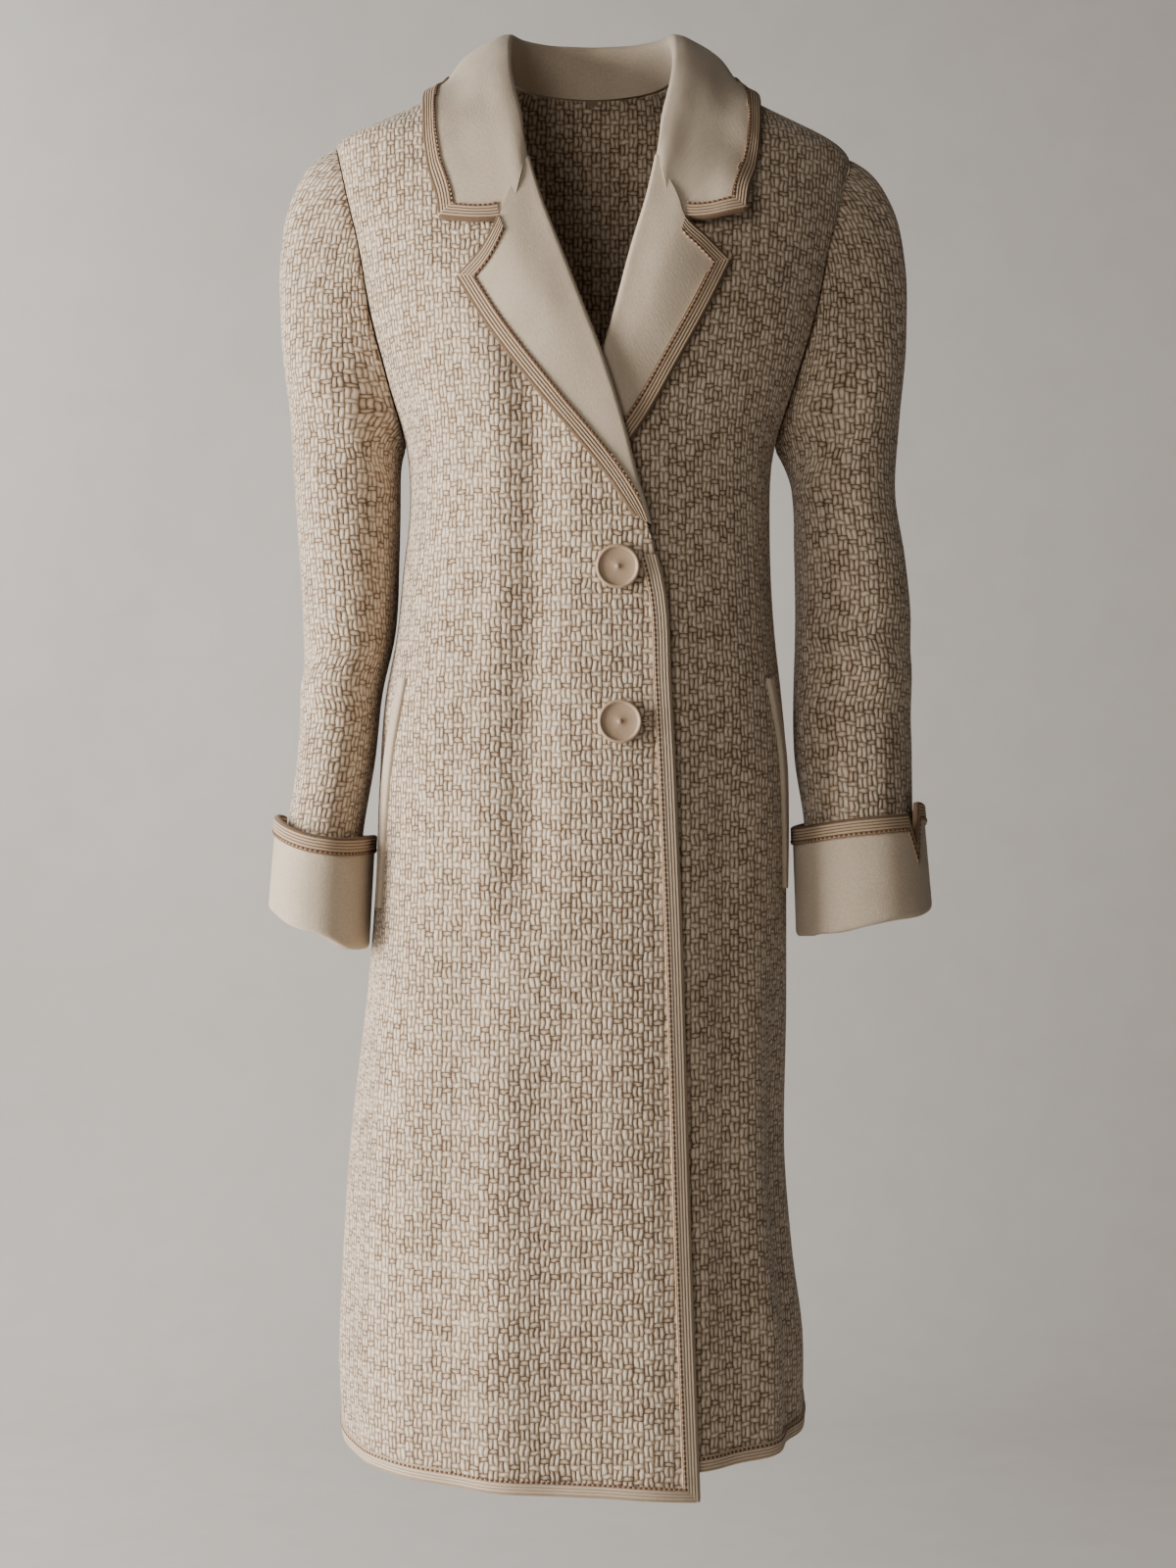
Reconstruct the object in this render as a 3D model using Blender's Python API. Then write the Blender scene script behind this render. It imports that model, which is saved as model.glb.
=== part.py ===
"""Long single-breasted wool coat, worn shape, hollow.

Metres, +Z up.  The front faces -Y and the wearer's right is at -X.  The origin is the
middle of the neck base, between the two points where shoulder seams meet the neck.
Every cloth piece is a closed wall, worked out on one body form given by rings.
"""
import math

import bmesh
import bpy
import numpy as np

# ---------------------------------------------------------------- driving dimensions
SEAM_GAP = 0.0003         # between pieces that meet at a seam
WOOL = 0.0025             # thickness of the basket-weave wool
LEAF = 0.0030             # thickness of collar and lapel, wool and facing together
CUFF_WALL = 0.0022        # thickness of the turned-back cuff
TAPE = 0.0008             # thickness of the binding tape
TAPE_CLEAR = 0.0004       # air between tape and cloth
EDGE_TAPE = 0.012         # visible width of tape on collar, lapels, fronts and cuffs
HEM_TAPE = 0.010          # visible width of tape along the hem
ROUND = 2.4               # exponent of the ring outline, 2 is an ellipse

TIP_Z = {-1: -0.0595, 1: -0.0690}      # height of the shoulder tips, wearer's right and left
UNDERARM_Z = -0.297
ARMHOLE_HALF = {"front": 0.052, "back": 0.056}
NECK_Z = 0.0
NECK_DROP = 0.004         # how far the neckline drops at the centre back
SIDE_ROW = 0.60           # share of a panel's rows below the underarm
NECK_ROW = 0.76           # share of the back's rows below its neckline
TOP_CROWD = 1.33          # how much a front's rows crowd towards the shoulder seam

LAPEL_RISE = 0.0022       # air between a lapel and the front it lies on
LAPEL_BELLY = 0.0050      # how far the middle of a lapel stands up
# Curl of a lapel round its roll line, outer and inner face: places out past the roll line
# and up from the lapel's face.  The first lies in the front's own cloth thickness.
ROLL_FOOT = -(LAPEL_RISE + LEAF + 0.0016)
ROLL_OUT = ((0.0052, ROLL_FOOT), (0.0048, -0.0030), (0.0028, -0.0006))
ROLL_IN = ((0.0022, ROLL_FOOT), (0.0019, -0.0040), (0.0009, -0.0033))
BUTTON_RADIUS = 0.0165
BUTTON_HEIGHT = 0.0045
CUFF_FOLD = 0.0024        # half the thickness of the fold at a cuff's lower edge

# Rings of the body form: height, half widths to the wearer's right and left, depth to the
# front and to the back, all from the origin's axis.
RIGHT, LEFT, AHEAD, BEHIND = 1, 2, 3, 4
RINGS = (
    (0.030, 0.0600, 0.0600, 0.058, 0.066),
    (0.000, 0.0680, 0.0680, 0.060, 0.076),
    (-0.020, 0.1120, 0.1090, 0.066, 0.088),
    (-0.040, 0.1560, 0.1500, 0.076, 0.093),
    (-0.065, 0.2010, 0.1960, 0.090, 0.102),
    (-0.100, 0.1990, 0.2010, 0.106, 0.113),
    (-0.150, 0.1890, 0.1920, 0.122, 0.124),
    (-0.200, 0.1780, 0.1800, 0.133, 0.129),
    (-0.250, 0.1610, 0.1610, 0.139, 0.127),
    (-0.297, 0.1450, 0.1430, 0.140, 0.124),
    (-0.340, 0.1420, 0.1390, 0.136, 0.120),
    (-0.400, 0.1480, 0.1400, 0.127, 0.117),
    (-0.445, 0.1525, 0.1430, 0.125, 0.117),
    (-0.490, 0.1610, 0.1480, 0.126, 0.120),
    (-0.560, 0.1660, 0.1530, 0.130, 0.127),
    (-0.640, 0.1690, 0.1520, 0.136, 0.133),
    (-0.720, 0.1750, 0.1520, 0.141, 0.138),
    (-0.830, 0.1870, 0.1500, 0.146, 0.142),
    (-0.920, 0.1920, 0.1560, 0.150, 0.146),
    (-1.000, 0.1950, 0.1650, 0.153, 0.150),
    (-1.090, 0.1880, 0.1640, 0.156, 0.152),
)

# Soft vertical folds of the skirt and body: centre and half width as degrees round the
# body from the front centre, depth outwards, and the heights where they start and are full.
FOLDS = (
    (-27.0, 9.0, -0.0030, -0.20, -0.45),
    (-46.0, 10.0, 0.0030, -0.35, -0.80),
    (-12.0, 8.0, 0.0025, -0.70, -1.00),
    (2.0, 7.0, -0.0030, -0.75, -1.00),
    (66.0, 7.0, -0.0060, -0.62, -0.84),
    (52.0, 8.0, 0.0040, -0.62, -0.84),
    (-74.0, 9.0, 0.0040, -0.70, -0.95),
    (104.0, 10.0, 0.0045, -0.55, -0.95),
    (128.0, 11.0, -0.0050, -0.50, -0.90),
    (152.0, 10.0, 0.0045, -0.55, -0.95),
    (-104.0, 10.0, 0.0040, -0.60, -0.95),
    (-130.0, 12.0, -0.0050, -0.50, -0.90),
    (-154.0, 10.0, 0.0045, -0.55, -0.95),
)

# Free edge of each front, height and x, from the hem up the front edge and then up the
# roll line.
EDGE_RIGHT = (
    (-1.090, 0.0780),
    (-0.900, 0.0715),
    (-0.640, 0.0640),
    (-0.490, 0.0575),
    (-0.410, 0.0520),
    (-0.383, 0.0450),
    (-0.345, 0.0330),
    (-0.302, 0.0225),
    (-0.243, 0.0040),
    (-0.205, -0.0105),
    (-0.166, -0.0250),
    (-0.129, -0.0385),
    (-0.088, -0.0500),
    (-0.045, -0.0590),
    (0.000, -0.0680),
)
EDGE_LEFT = (
    (-1.090, 0.0060),
    (-0.700, -0.0010),
    (-0.410, -0.0080),
    (-0.345, -0.0080),
    (-0.302, -0.0030),
    (-0.258, 0.0065),
    (-0.205, 0.0205),
    (-0.166, 0.0305),
    (-0.126, 0.0420),
    (-0.088, 0.0500),
    (-0.045, 0.0590),
    (0.000, 0.0680),
)
BREAK_Z = {-1: -0.380, 1: -0.352}      # where each front edge turns into its roll line

# How deep the left front lies under the right one, by height.
LAP = (
    (-1.090, 0.0065),
    (-0.480, 0.0065),
    (-0.380, 0.0105),
    (-0.260, 0.0105),
    (-0.180, 0.0030),
    (-0.120, 0.0000),
    (0.030, 0.0000),
)

# Height of the hem round the body, by degrees from the front centre.
HEM = (
    (-180.0, -1.066),
    (-135.0, -1.060),
    (-100.0, -1.048),
    (-88.0, -1.050),
    (-70.0, -1.064),
    (-45.0, -1.071),
    (0.0, -1.079),
    (32.0, -1.086),
)
HEM_LEFT = (
    (0.0, -1.066),
    (40.0, -1.062),
    (75.0, -1.056),
    (100.0, -1.050),
    (135.0, -1.060),
    (180.0, -1.066),
)

# Outline of each lapel seen from the front.  "outer" runs from the break up to the tip,
# "top" from the roll line down the gorge seam and out along the upper edge to the tip.
LAPELS = {
    "right": {
        "side": -1,
        "outer": ((0.0320, -0.3620), (0.0115, -0.3320), (-0.0320, -0.2790),
                  (-0.0755, -0.2210), (-0.0975, -0.1850)),
        "top": ((-0.0470, -0.0990), (-0.0605, -0.1280), (-0.0655, -0.1440),
                (-0.0800, -0.1660), (-0.0975, -0.1850)),
        "roll": (-0.3660, -0.0990),
    },
    "left": {
        "side": 1,
        "outer": ((-0.0020, -0.3500), (0.0080, -0.3320), (0.0250, -0.3100),
                  (0.0410, -0.2870), (0.0620, -0.2500), (0.0840, -0.2080), (0.1010, -0.1720)),
        "top": ((0.0477, -0.0990), (0.0605, -0.1280), (0.0655, -0.1440),
                (0.0830, -0.1560), (0.1010, -0.1720)),
        "roll": (-0.3420, -0.0990),
    },
}

# Collar, wearer's left half, from its front end to the centre back: share of its length,
# the outer shoulder of the fold (x, y, z) and the free edge (x, y, z).  The right half
# mirrors it.
COLLAR = (
    (0.00, 0.0520, -0.086, -0.0900, 0.1125, -0.092, -0.1340),
    (0.14, 0.0585, -0.084, -0.0600, 0.1165, -0.080, -0.1000),
    (0.28, 0.0655, -0.062, -0.0190, 0.1215, -0.055, -0.0580),
    (0.42, 0.0675, -0.030, 0.0130, 0.1210, -0.018, -0.0260),
    (0.56, 0.0655, 0.007, 0.0310, 0.1090, 0.026, -0.0090),
    (0.70, 0.0575, 0.044, 0.0370, 0.0930, 0.068, -0.0130),
    (0.85, 0.0335, 0.069, 0.0390, 0.0520, 0.100, -0.0240),
    (1.00, 0.0000, 0.078, 0.0400, 0.0000, 0.110, -0.0290),
)
COLLAR_FRONT = 0.42       # share of the collar that is in front of the shoulder seam
# Curl of the collar over its fold, outer and inner face: places out from the fold's top
# towards the fall and up from it.
CREST_OUT, CREST_IN = (-0.0028, -0.0006), (-0.0010, -0.0034)
TURN_OUT, TURN_IN = (-0.0052, -0.0034), (-0.0021, -0.0046)
COLLAR_LOFT = 0.0020      # how much the fold stands up between its front and the shoulder
COLLAR_BELLY = ((0.0, 0.0020), (0.3, 0.0100), (0.6, 0.0100), (1.0, 0.0060))
FALL_SHARES = (0.34, 0.68, 1.0)        # places down the fall, as shares up to the tape
# Foot of the collar's stand: out past the roll line in front, above the neckline behind.
FOOT_OUT, FOOT_IN, FOOT_SINK = 0.0052, 0.0022, -0.0016
FOOT_RISE, FOOT_RISE_SIDE, FOOT_THICK, FOOT_SHIFT = 0.0007, 0.0010, 0.0028, 0.0002
# Front end of the collar seen from the front: down the gorge seam, then out along the
# lower edge to the corner; and the same places one tape's width up.
COLLAR_END = ((0.0515, -0.0935), (0.0680, -0.1395), (0.0820, -0.1420),
              (0.0990, -0.1405), (0.1110, -0.1385))
COLLAR_END_IN = ((0.0545, -0.0815), (0.0700, -0.1275), (0.0835, -0.1300),
                 (0.0995, -0.1285), (0.1125, -0.1265))

# Sections of the sleeves below the underarm: height, centre (x, y) and half sizes (x, y).
SLEEVES = {
    -1: (
        (-0.335, -0.1915, 0.002, 0.0410, 0.0580),
        (-0.380, -0.1905, 0.004, 0.0390, 0.0570),
        (-0.440, -0.1905, 0.004, 0.0360, 0.0550),
        (-0.490, -0.1960, -0.002, 0.0315, 0.0545),
        (-0.540, -0.1995, -0.010, 0.0300, 0.0535),
        (-0.597, -0.2070, -0.022, 0.0290, 0.0545),
        (-0.690, -0.2126, -0.032, 0.0302, 0.0557),
    ),
    1: (
        (-0.335, 0.1980, 0.002, 0.0400, 0.0560),
        (-0.380, 0.2025, 0.004, 0.0430, 0.0540),
        (-0.440, 0.2055, 0.002, 0.0455, 0.0510),
        (-0.490, 0.2040, -0.004, 0.0460, 0.0490),
        (-0.540, 0.2040, -0.012, 0.0455, 0.0480),
        (-0.588, 0.2070, -0.022, 0.0420, 0.0485),
        (-0.690, 0.2122, -0.0323, 0.0445, 0.0485),
    ),
}
SLEEVE_END = 0.005        # how far a sleeve ends above the fold of its cuff

# Cuffs: ellipses at the top and bottom, heights of both edges, how much the edges tilt
# up on the outer side, and the vent's angle from the front, towards the outside.
CUFFS = {
    -1: {"top": (-0.2070, -0.022, 0.0385, 0.0640), "bottom": (-0.2115, -0.030, 0.0395, 0.0650),
         "top_z": -0.597, "bottom_z": -0.672, "top_tilt": 0.0080, "bottom_tilt": 0.0160,
         "vent": 118.0},
    1: {"top": (0.2070, -0.022, 0.0510, 0.0580), "bottom": (0.2110, -0.030, 0.0530, 0.0580),
        "top_z": -0.588, "bottom_z": -0.667, "top_tilt": 0.0060, "bottom_tilt": 0.0100,
        "vent": 47.0},
}
VENT_DEPTH = 0.024
VENT_HALF = 9.0           # half width of the vent's mouth, degrees
FLAP_RISE = 0.008         # how far the cuff rises behind the vent

# Slanted welts of the side pockets, seen from the front: height and x of each point.
WELT_RIGHT = ((-0.480, -0.1400), (-0.545, -0.1520), (-0.600, -0.1570), (-0.655, -0.1600))
WELT_LEFT = ((-0.480, 0.1330), (-0.530, 0.1420), (-0.590, 0.1455), (-0.640, 0.1460))
WELT_WIDTH = 0.014
WELT_THICK = 0.0026

BUTTONS = {"button_upper": (0.0188, -0.399), "button_lower": (0.0204, -0.514)}

# Grid sizes: rows run up the body, columns run across.
FRONT_ROWS, FRONT_COLUMNS = 27, 12
BACK_ROWS, BACK_COLUMNS = 24, 10
LAPEL_ROWS, LAPEL_ACROSS = 13, 6
COLLAR_STATIONS = 13
SLEEVE_AROUND, CAP_ROWS = 24, 6
FRONT_SEAM, BACK_SEAM = 10, 19         # columns of the seams between top and under sleeve
CUFF_AROUND = 36

UP = np.array([0.0, 0.0, 1.0])

COLOURS = {
    "wool": ((0.62, 0.56, 0.48), 0.95),
    "cream": ((0.72, 0.67, 0.58), 0.85),
    "tape": ((0.42, 0.30, 0.19), 0.80),
    "button": ((0.40, 0.29, 0.21), 0.55),
}


# ---------------------------------------------------------------- small tools
def smooth(table, at, column=1):
    """Smooth value of one column of a table at heights or angles `at`."""
    rows = sorted(table)
    xs = np.array([row[0] for row in rows])
    ys = np.array([row[column] for row in rows])
    step = np.diff(xs)
    rise = np.diff(ys) / step
    slope = np.zeros(len(xs))
    slope[0], slope[-1] = rise[0], rise[-1]
    for i in range(1, len(xs) - 1):
        if rise[i - 1] * rise[i] > 0:
            slope[i] = (rise[i - 1] * step[i] + rise[i] * step[i - 1]) / (step[i - 1] + step[i])
    at = np.clip(np.asarray(at, float), xs[0], xs[-1])
    k = np.clip(np.searchsorted(xs, at) - 1, 0, len(step) - 1)
    t = (at - xs[k]) / step[k]
    h = step[k]
    return ((1 + 2 * t) * (1 - t) ** 2 * ys[k] + t * (1 - t) ** 2 * h * slope[k]
            + t * t * (3 - 2 * t) * ys[k + 1] + t * t * (t - 1) * h * slope[k + 1])


def along(points, t):
    """Smooth curve through points, t from 0 to 1 by length."""
    points = np.array(points, float)
    length = np.concatenate(([0.0], np.cumsum(np.linalg.norm(np.diff(points, axis=0), axis=1))))
    length /= length[-1]
    return np.stack([smooth(list(zip(length, points[:, c])), t) for c in range(points.shape[1])],
                    axis=-1)


def ease(value, low, high):
    t = np.clip((np.asarray(value, float) - low) / (high - low), 0.0, 1.0)
    return t * t * (3 - 2 * t)


def unit(vectors):
    return vectors / np.maximum(np.linalg.norm(vectors, axis=-1, keepdims=True), 1e-12)


# ---------------------------------------------------------------- the body form
def half_width(side, z):
    return smooth(RINGS, z, RIGHT if side < 0 else LEFT)


def fold_height(angle, z):
    """How far the soft folds lift the cloth at an angle and height."""
    total = np.zeros(np.broadcast(angle, z).shape)
    degrees = np.degrees(angle)
    for centre, half, depth, start, full in FOLDS:
        apart = (degrees - centre + 180.0) % 360.0 - 180.0
        total = total + depth * np.exp(-(apart / half) ** 2) * ease(-z, -start, -full)
    return total


def form(angle, z, out=0.0):
    """Point of the body form; angle 0 is the front centre, +90 degrees the left side."""
    angle, z, out = np.broadcast_arrays(np.asarray(angle, float), np.asarray(z, float),
                                        np.asarray(out, float))
    across, ahead = np.sin(angle), np.cos(angle)
    width = np.where(across < 0, half_width(-1, z), half_width(1, z))
    depth = np.where(ahead > 0, smooth(RINGS, z, AHEAD), smooth(RINGS, z, BEHIND))
    x = width * np.sign(across) * np.abs(across) ** (2 / ROUND)
    y = -depth * np.sign(ahead) * np.abs(ahead) ** (2 / ROUND)
    points = np.stack([x, y, z], axis=-1)
    lift = out + fold_height(angle, z)
    flat = unit(np.stack([x / width ** 2, y / depth ** 2, np.zeros_like(x)], axis=-1))
    return points + flat * lift[..., None]


def form_normal(angle, z):
    turn, rise = 0.03, 0.004
    around = form(angle + turn, z) - form(angle - turn, z)
    upward = form(angle, z + rise) - form(angle, z - rise)
    return unit(np.cross(around, upward))


def surface(angle, z, out=0.0):
    """Point of the body form moved out along its true normal."""
    return form(angle, z) + form_normal(angle, z) * np.asarray(out, float)[..., None]


def angle_at(x, z):
    """Angle on the front half of the form where it has the given x."""
    share = np.clip(np.abs(x) / np.where(x < 0, half_width(-1, z), half_width(1, z)), 0, 1)
    return np.sign(x) * np.arcsin(share ** (ROUND / 2))


def angle_beside(y, z, side):
    """Angle on one side of the form where it has the given y."""
    depth = np.where(y < 0, smooth(RINGS, z, AHEAD), smooth(RINGS, z, BEHIND))
    ahead = np.clip(np.abs(y) / depth, 0, 1) ** (ROUND / 2)
    return side * np.where(y < 0, np.arccos(ahead), math.pi - np.arccos(ahead))


def lap_depth(angle, z, side):
    """How far a front lies inside the form, where the left one passes under the right."""
    if side < 0:
        return np.zeros(np.broadcast(angle, z).shape)
    return -smooth(LAP, z) * ease(-np.degrees(angle), -72.0, -24.0)


# ---------------------------------------------------------------- solids
def solid(name, points, faces, kind):
    """One closed body from points and faces, with its own material."""
    mesh = bpy.data.meshes.new(name)
    mesh.from_pydata([tuple(p) for p in points], [], faces)
    bm = bmesh.new()
    bm.from_mesh(mesh)
    bmesh.ops.remove_doubles(bm, verts=bm.verts, dist=1e-6)
    bmesh.ops.recalc_face_normals(bm, faces=bm.faces)
    if bm.calc_volume(signed=True) < 0:
        bmesh.ops.reverse_faces(bm, faces=bm.faces)
    bmesh.ops.triangulate(bm, faces=bm.faces)
    bm.to_mesh(mesh)
    bm.free()
    mesh.shade_smooth()
    colour, roughness = COLOURS[kind]
    material = bpy.data.materials.new(name)
    material.use_nodes = True
    shader = material.node_tree.nodes["Principled BSDF"]
    shader.inputs["Base Color"].default_value = (*colour, 1.0)
    shader.inputs["Roughness"].default_value = roughness
    mesh.materials.append(material)
    thing = bpy.data.objects.new(name, mesh)
    bpy.context.scene.collection.objects.link(thing)
    return thing


def grid_quads(rows, columns, wrap=False, start=0):
    quads = []
    for r in range(rows - 1):
        for c in range(columns if wrap else columns - 1):
            d = (c + 1) % columns
            quads.append((start + r * columns + c, start + r * columns + d,
                          start + (r + 1) * columns + d, start + (r + 1) * columns + c))
    return quads


def wall(name, sheets, kind, wrap=False):
    """Closed wall between outer and inner grids; grids that share points are joined."""
    index, outer, inner, quads = {}, [], [], []
    for out_grid, in_grid in sheets:
        rows, columns = out_grid.shape[:2]
        numbers = []
        for p, q in zip(out_grid.reshape(-1, 3), in_grid.reshape(-1, 3)):
            key = tuple(np.round(p, 6))
            if key not in index:
                index[key] = len(outer)
                outer.append(p)
                inner.append(q)
            numbers.append(index[key])
        for quad in grid_quads(rows, columns, wrap):
            corners = [numbers[i] for i in quad]
            kept = [c for i, c in enumerate(corners) if c != corners[i - 1]]
            if len(kept) > 2:
                quads.append(tuple(kept))
    count = len(outer)
    used = {}
    for quad in quads:
        for a, b in zip(quad, quad[1:] + quad[:1]):
            used[frozenset((a, b))] = used.get(frozenset((a, b)), 0) + 1
    faces = list(quads)
    faces += [tuple(i + count for i in reversed(quad)) for quad in quads]
    for quad in quads:
        for a, b in zip(quad, quad[1:] + quad[:1]):
            if used[frozenset((a, b))] == 1:
                faces.append((b, a, a + count, b + count))
    return solid(name, outer + inner, faces, kind)


def binding(name, stations, closed=False):
    """Folded tape round an edge.  A station holds the outer and inner points at the edge
    and the same two a tape's width in, and the cloth's normal at both."""
    near, far = TAPE_CLEAR, TAPE_CLEAR + TAPE
    loops = []
    for edge_out, edge_in, deep_out, deep_in, edge_normal, deep_normal in stations:
        away = unit(edge_out - deep_out)
        away = unit(away - edge_normal * np.dot(away, edge_normal))
        loops.append([
            deep_out + deep_normal * far, edge_out + edge_normal * far + away * far,
            edge_in - edge_normal * far + away * far, deep_in - deep_normal * far,
            deep_in - deep_normal * near, edge_in - edge_normal * near + away * near,
            edge_out + edge_normal * near + away * near, deep_out + deep_normal * near])
    count, size = len(loops), 8
    points = [p for loop in loops for p in loop]
    faces = []
    for s in range(count if closed else count - 1):
        t = (s + 1) % count
        for c in range(size):
            d = (c + 1) % size
            faces.append((s * size + c, s * size + d, t * size + d, t * size + c))
    if not closed:
        for s in (0, count - 1):
            for corners in ((0, 1, 6, 7), (1, 2, 5, 6), (2, 3, 4, 5)):
                faces.append(tuple(s * size + c for c in corners))
    return solid(name, points, faces, "tape")


def edge_stations(outer, inner, normals, pairs):
    """Stations for a binding, from pairs of grid places: the edge and a tape's width in."""
    return [(outer[e], inner[e], outer[d], inner[d], normals[e], normals[d]) for e, d in pairs]


# ---------------------------------------------------------------- body panels
def outer_side(side, where, level):
    """Angle and height up a side seam, then round the armhole to the shoulder tip."""
    front = where == "front"
    hem = hem_height(side * math.pi / 2, side)
    share = np.clip((level - SIDE_ROW) / (1 - SIDE_ROW), 0, 1)
    turn = math.pi * (1 - share)
    z_arm = TIP_Z[side] + (UNDERARM_Z - TIP_Z[side]) * (1 - np.cos(turn)) / 2
    z_side = hem + (UNDERARM_Z - hem) * np.clip(level / SIDE_ROW, 0, 1)
    z = np.where(level < SIDE_ROW, z_side, z_arm)
    reach = np.where(level < SIDE_ROW, 0.0, ARMHOLE_HALF[where] * np.sin(turn))
    y = (-1 if front else 1) * (reach + SEAM_GAP * 0.7)
    return angle_beside(y, z, side), z


def hem_height(angle, side):
    degrees = np.degrees(angle)
    table = HEM if side < 0 else HEM_LEFT
    return smooth(table, degrees)


def front_levels():
    """Row levels of a front, with one row a tape's width above the hem."""
    tape = HEM_TAPE / (UNDERARM_Z - HEM[3][1]) * SIDE_ROW
    low = np.linspace(0.045, SIDE_ROW, int(FRONT_ROWS * 0.56))
    steps = np.linspace(0.0, 1.0, FRONT_ROWS - len(low) - 1)[1:]
    high = SIDE_ROW + (1 - SIDE_ROW) * (1 - (1 - steps) ** TOP_CROWD)
    return np.concatenate(([0.0, tape], low, high))


def front_grid(side):
    table = EDGE_RIGHT if side < 0 else EDGE_LEFT
    levels = front_levels()
    out_angle, out_z = outer_side(side, "front", levels)
    hem_angle = angle_at(table[0][1], table[0][0])
    hem_z = float(hem_height(hem_angle, side))
    split = UNDERARM_Z - 0.004
    left_over = np.clip((1 - levels) / (1 - SIDE_ROW), 0, 1)
    in_z = np.where(levels < SIDE_ROW, hem_z + (split - hem_z) * levels / SIDE_ROW,
                    NECK_Z + (split - NECK_Z) * left_over ** TOP_CROWD)
    in_x = smooth(table, in_z)
    in_angle = angle_at(in_x, in_z)
    in_angle[-1] = angle_beside(np.array(-SEAM_GAP * 0.7), np.array(NECK_Z), side)
    angles = np.zeros((len(levels), FRONT_COLUMNS))
    heights = np.zeros_like(angles)
    for r in range(len(levels)):
        fine = np.linspace(0, 1, 40)
        run = surface(out_angle[r] + (in_angle[r] - out_angle[r]) * fine,
                      out_z[r] + (in_z[r] - out_z[r]) * fine)
        length = np.concatenate(([0.0], np.cumsum(np.linalg.norm(np.diff(run, axis=0), axis=1))))
        inset = min(EDGE_TAPE, length[-1] * 0.3)
        wanted = np.append(np.linspace(0, length[-1] - inset, FRONT_COLUMNS - 1), length[-1])
        share = np.interp(wanted, length, fine)
        angles[r] = out_angle[r] + (in_angle[r] - out_angle[r]) * share
        heights[r] = out_z[r] + (in_z[r] - out_z[r]) * share
    hem_curve = hem_height(angles[0], side) - heights[0]
    fade = 1 - ease(levels, 0.0, SIDE_ROW)
    heights += hem_curve[None, :] * fade[:, None]
    return angles, heights, levels


def panel_sheet(angles, heights, out, thickness=WOOL):
    normals = form_normal(angles, heights)
    outer = form(angles, heights) + normals * out[..., None]
    return outer, outer - normals * thickness, normals


def make_front(side):
    name = "right" if side < 0 else "left"
    angles, heights, levels = front_grid(side)
    outer, inner, normals = panel_sheet(angles, heights, lap_depth(angles, heights, side))
    wall("front_" + name, [(outer, inner)], "wool")
    edge_rows = [r for r in range(len(levels)) if r > 1 and heights[r, -1] < BREAK_Z[side]]
    pairs = [((r, -1), (r, -2)) for r in reversed(edge_rows)]
    pairs += [((1, -1), (1, -2)), ((0, -1), (1, -2))]
    pairs += [((0, c), (1, c)) for c in range(FRONT_COLUMNS - 2, -1, -1)]
    binding("binding_front_" + name, edge_stations(outer, inner, normals, pairs))


def back_half(side):
    """Angles and heights of half the back: outer side to centre back and neckline."""
    tape = HEM_TAPE / (UNDERARM_Z - HEM[0][1]) * SIDE_ROW
    low = np.linspace(0.05, SIDE_ROW, int(BACK_ROWS * 0.52))
    high = np.linspace(SIDE_ROW, 1.0, BACK_ROWS - len(low) - 1)[1:]
    levels = np.concatenate(([0.0, tape], low, high))
    out_angle, out_z = outer_side(side, "back", levels)
    hem_z = HEM[0][1]
    neck_low = NECK_Z - NECK_DROP
    corner = NECK_ROW
    up = np.clip(levels / corner, 0, 1)
    past = np.clip((levels - corner) / (1 - corner), 0, 1)
    in_z = np.where(levels < corner, hem_z + (neck_low - hem_z) * up,
                    neck_low + (NECK_Z - neck_low) * past)
    below = np.minimum((out_z + outer_side(-side, "back", levels)[1]) / 2, neck_low)
    in_z = np.where(levels <= SIDE_ROW, below, in_z)
    mid = (levels > SIDE_ROW) & (levels < corner)
    start = below[levels <= SIDE_ROW][-1]
    in_z = np.where(mid, start + (neck_low - start) * (levels - SIDE_ROW) / (corner - SIDE_ROW), in_z)
    last = angle_beside(np.array(SEAM_GAP * 0.7), np.array(NECK_Z), side)
    in_angle = side * math.pi + (last - side * math.pi) * past
    share = np.linspace(0, 1, BACK_COLUMNS)[None, :]
    angles = out_angle[:, None] + (in_angle - out_angle)[:, None] * share
    heights = out_z[:, None] + (in_z - out_z)[:, None] * share
    table = HEM if side < 0 else HEM_LEFT
    curve = smooth(table, np.degrees(angles[0])) - heights[0]
    heights += curve[None, :] * (1 - ease(levels, 0.0, SIDE_ROW))[:, None]
    return angles, heights


def make_back():
    sheets, hem = [], []
    for side in (-1, 1):
        angles, heights = back_half(side)
        outer, inner, normals = panel_sheet(angles, heights, np.zeros(angles.shape))
        centre = np.abs(np.abs(angles[:, -1]) - math.pi) < 1e-9
        for grid in (outer, inner):
            grid[centre, -1, 0] = 0.0
        sheets.append((outer, inner))
        stations = edge_stations(outer, inner, normals,
                                 [((0, c), (1, c)) for c in range(BACK_COLUMNS)])
        hem += stations if side < 0 else stations[-2::-1]
    wall("back", sheets, "wool")
    binding("binding_back_hem", hem)


# ---------------------------------------------------------------- lapels
def coons(bottom, top, left, right):
    """Patch between four curves, each an array of points; rows run from bottom to top."""
    rows, columns = len(left), len(bottom)
    v = np.linspace(0, 1, rows)[:, None, None]
    u = np.linspace(0, 1, columns)[None, :, None]
    ruled = (1 - v) * bottom[None] + v * top[None] + (1 - u) * left[:, None] + u * right[:, None]
    corners = ((1 - u) * (1 - v) * bottom[0] + u * (1 - v) * bottom[-1]
               + (1 - u) * v * top[0] + u * v * top[-1])
    return ruled - corners


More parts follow.
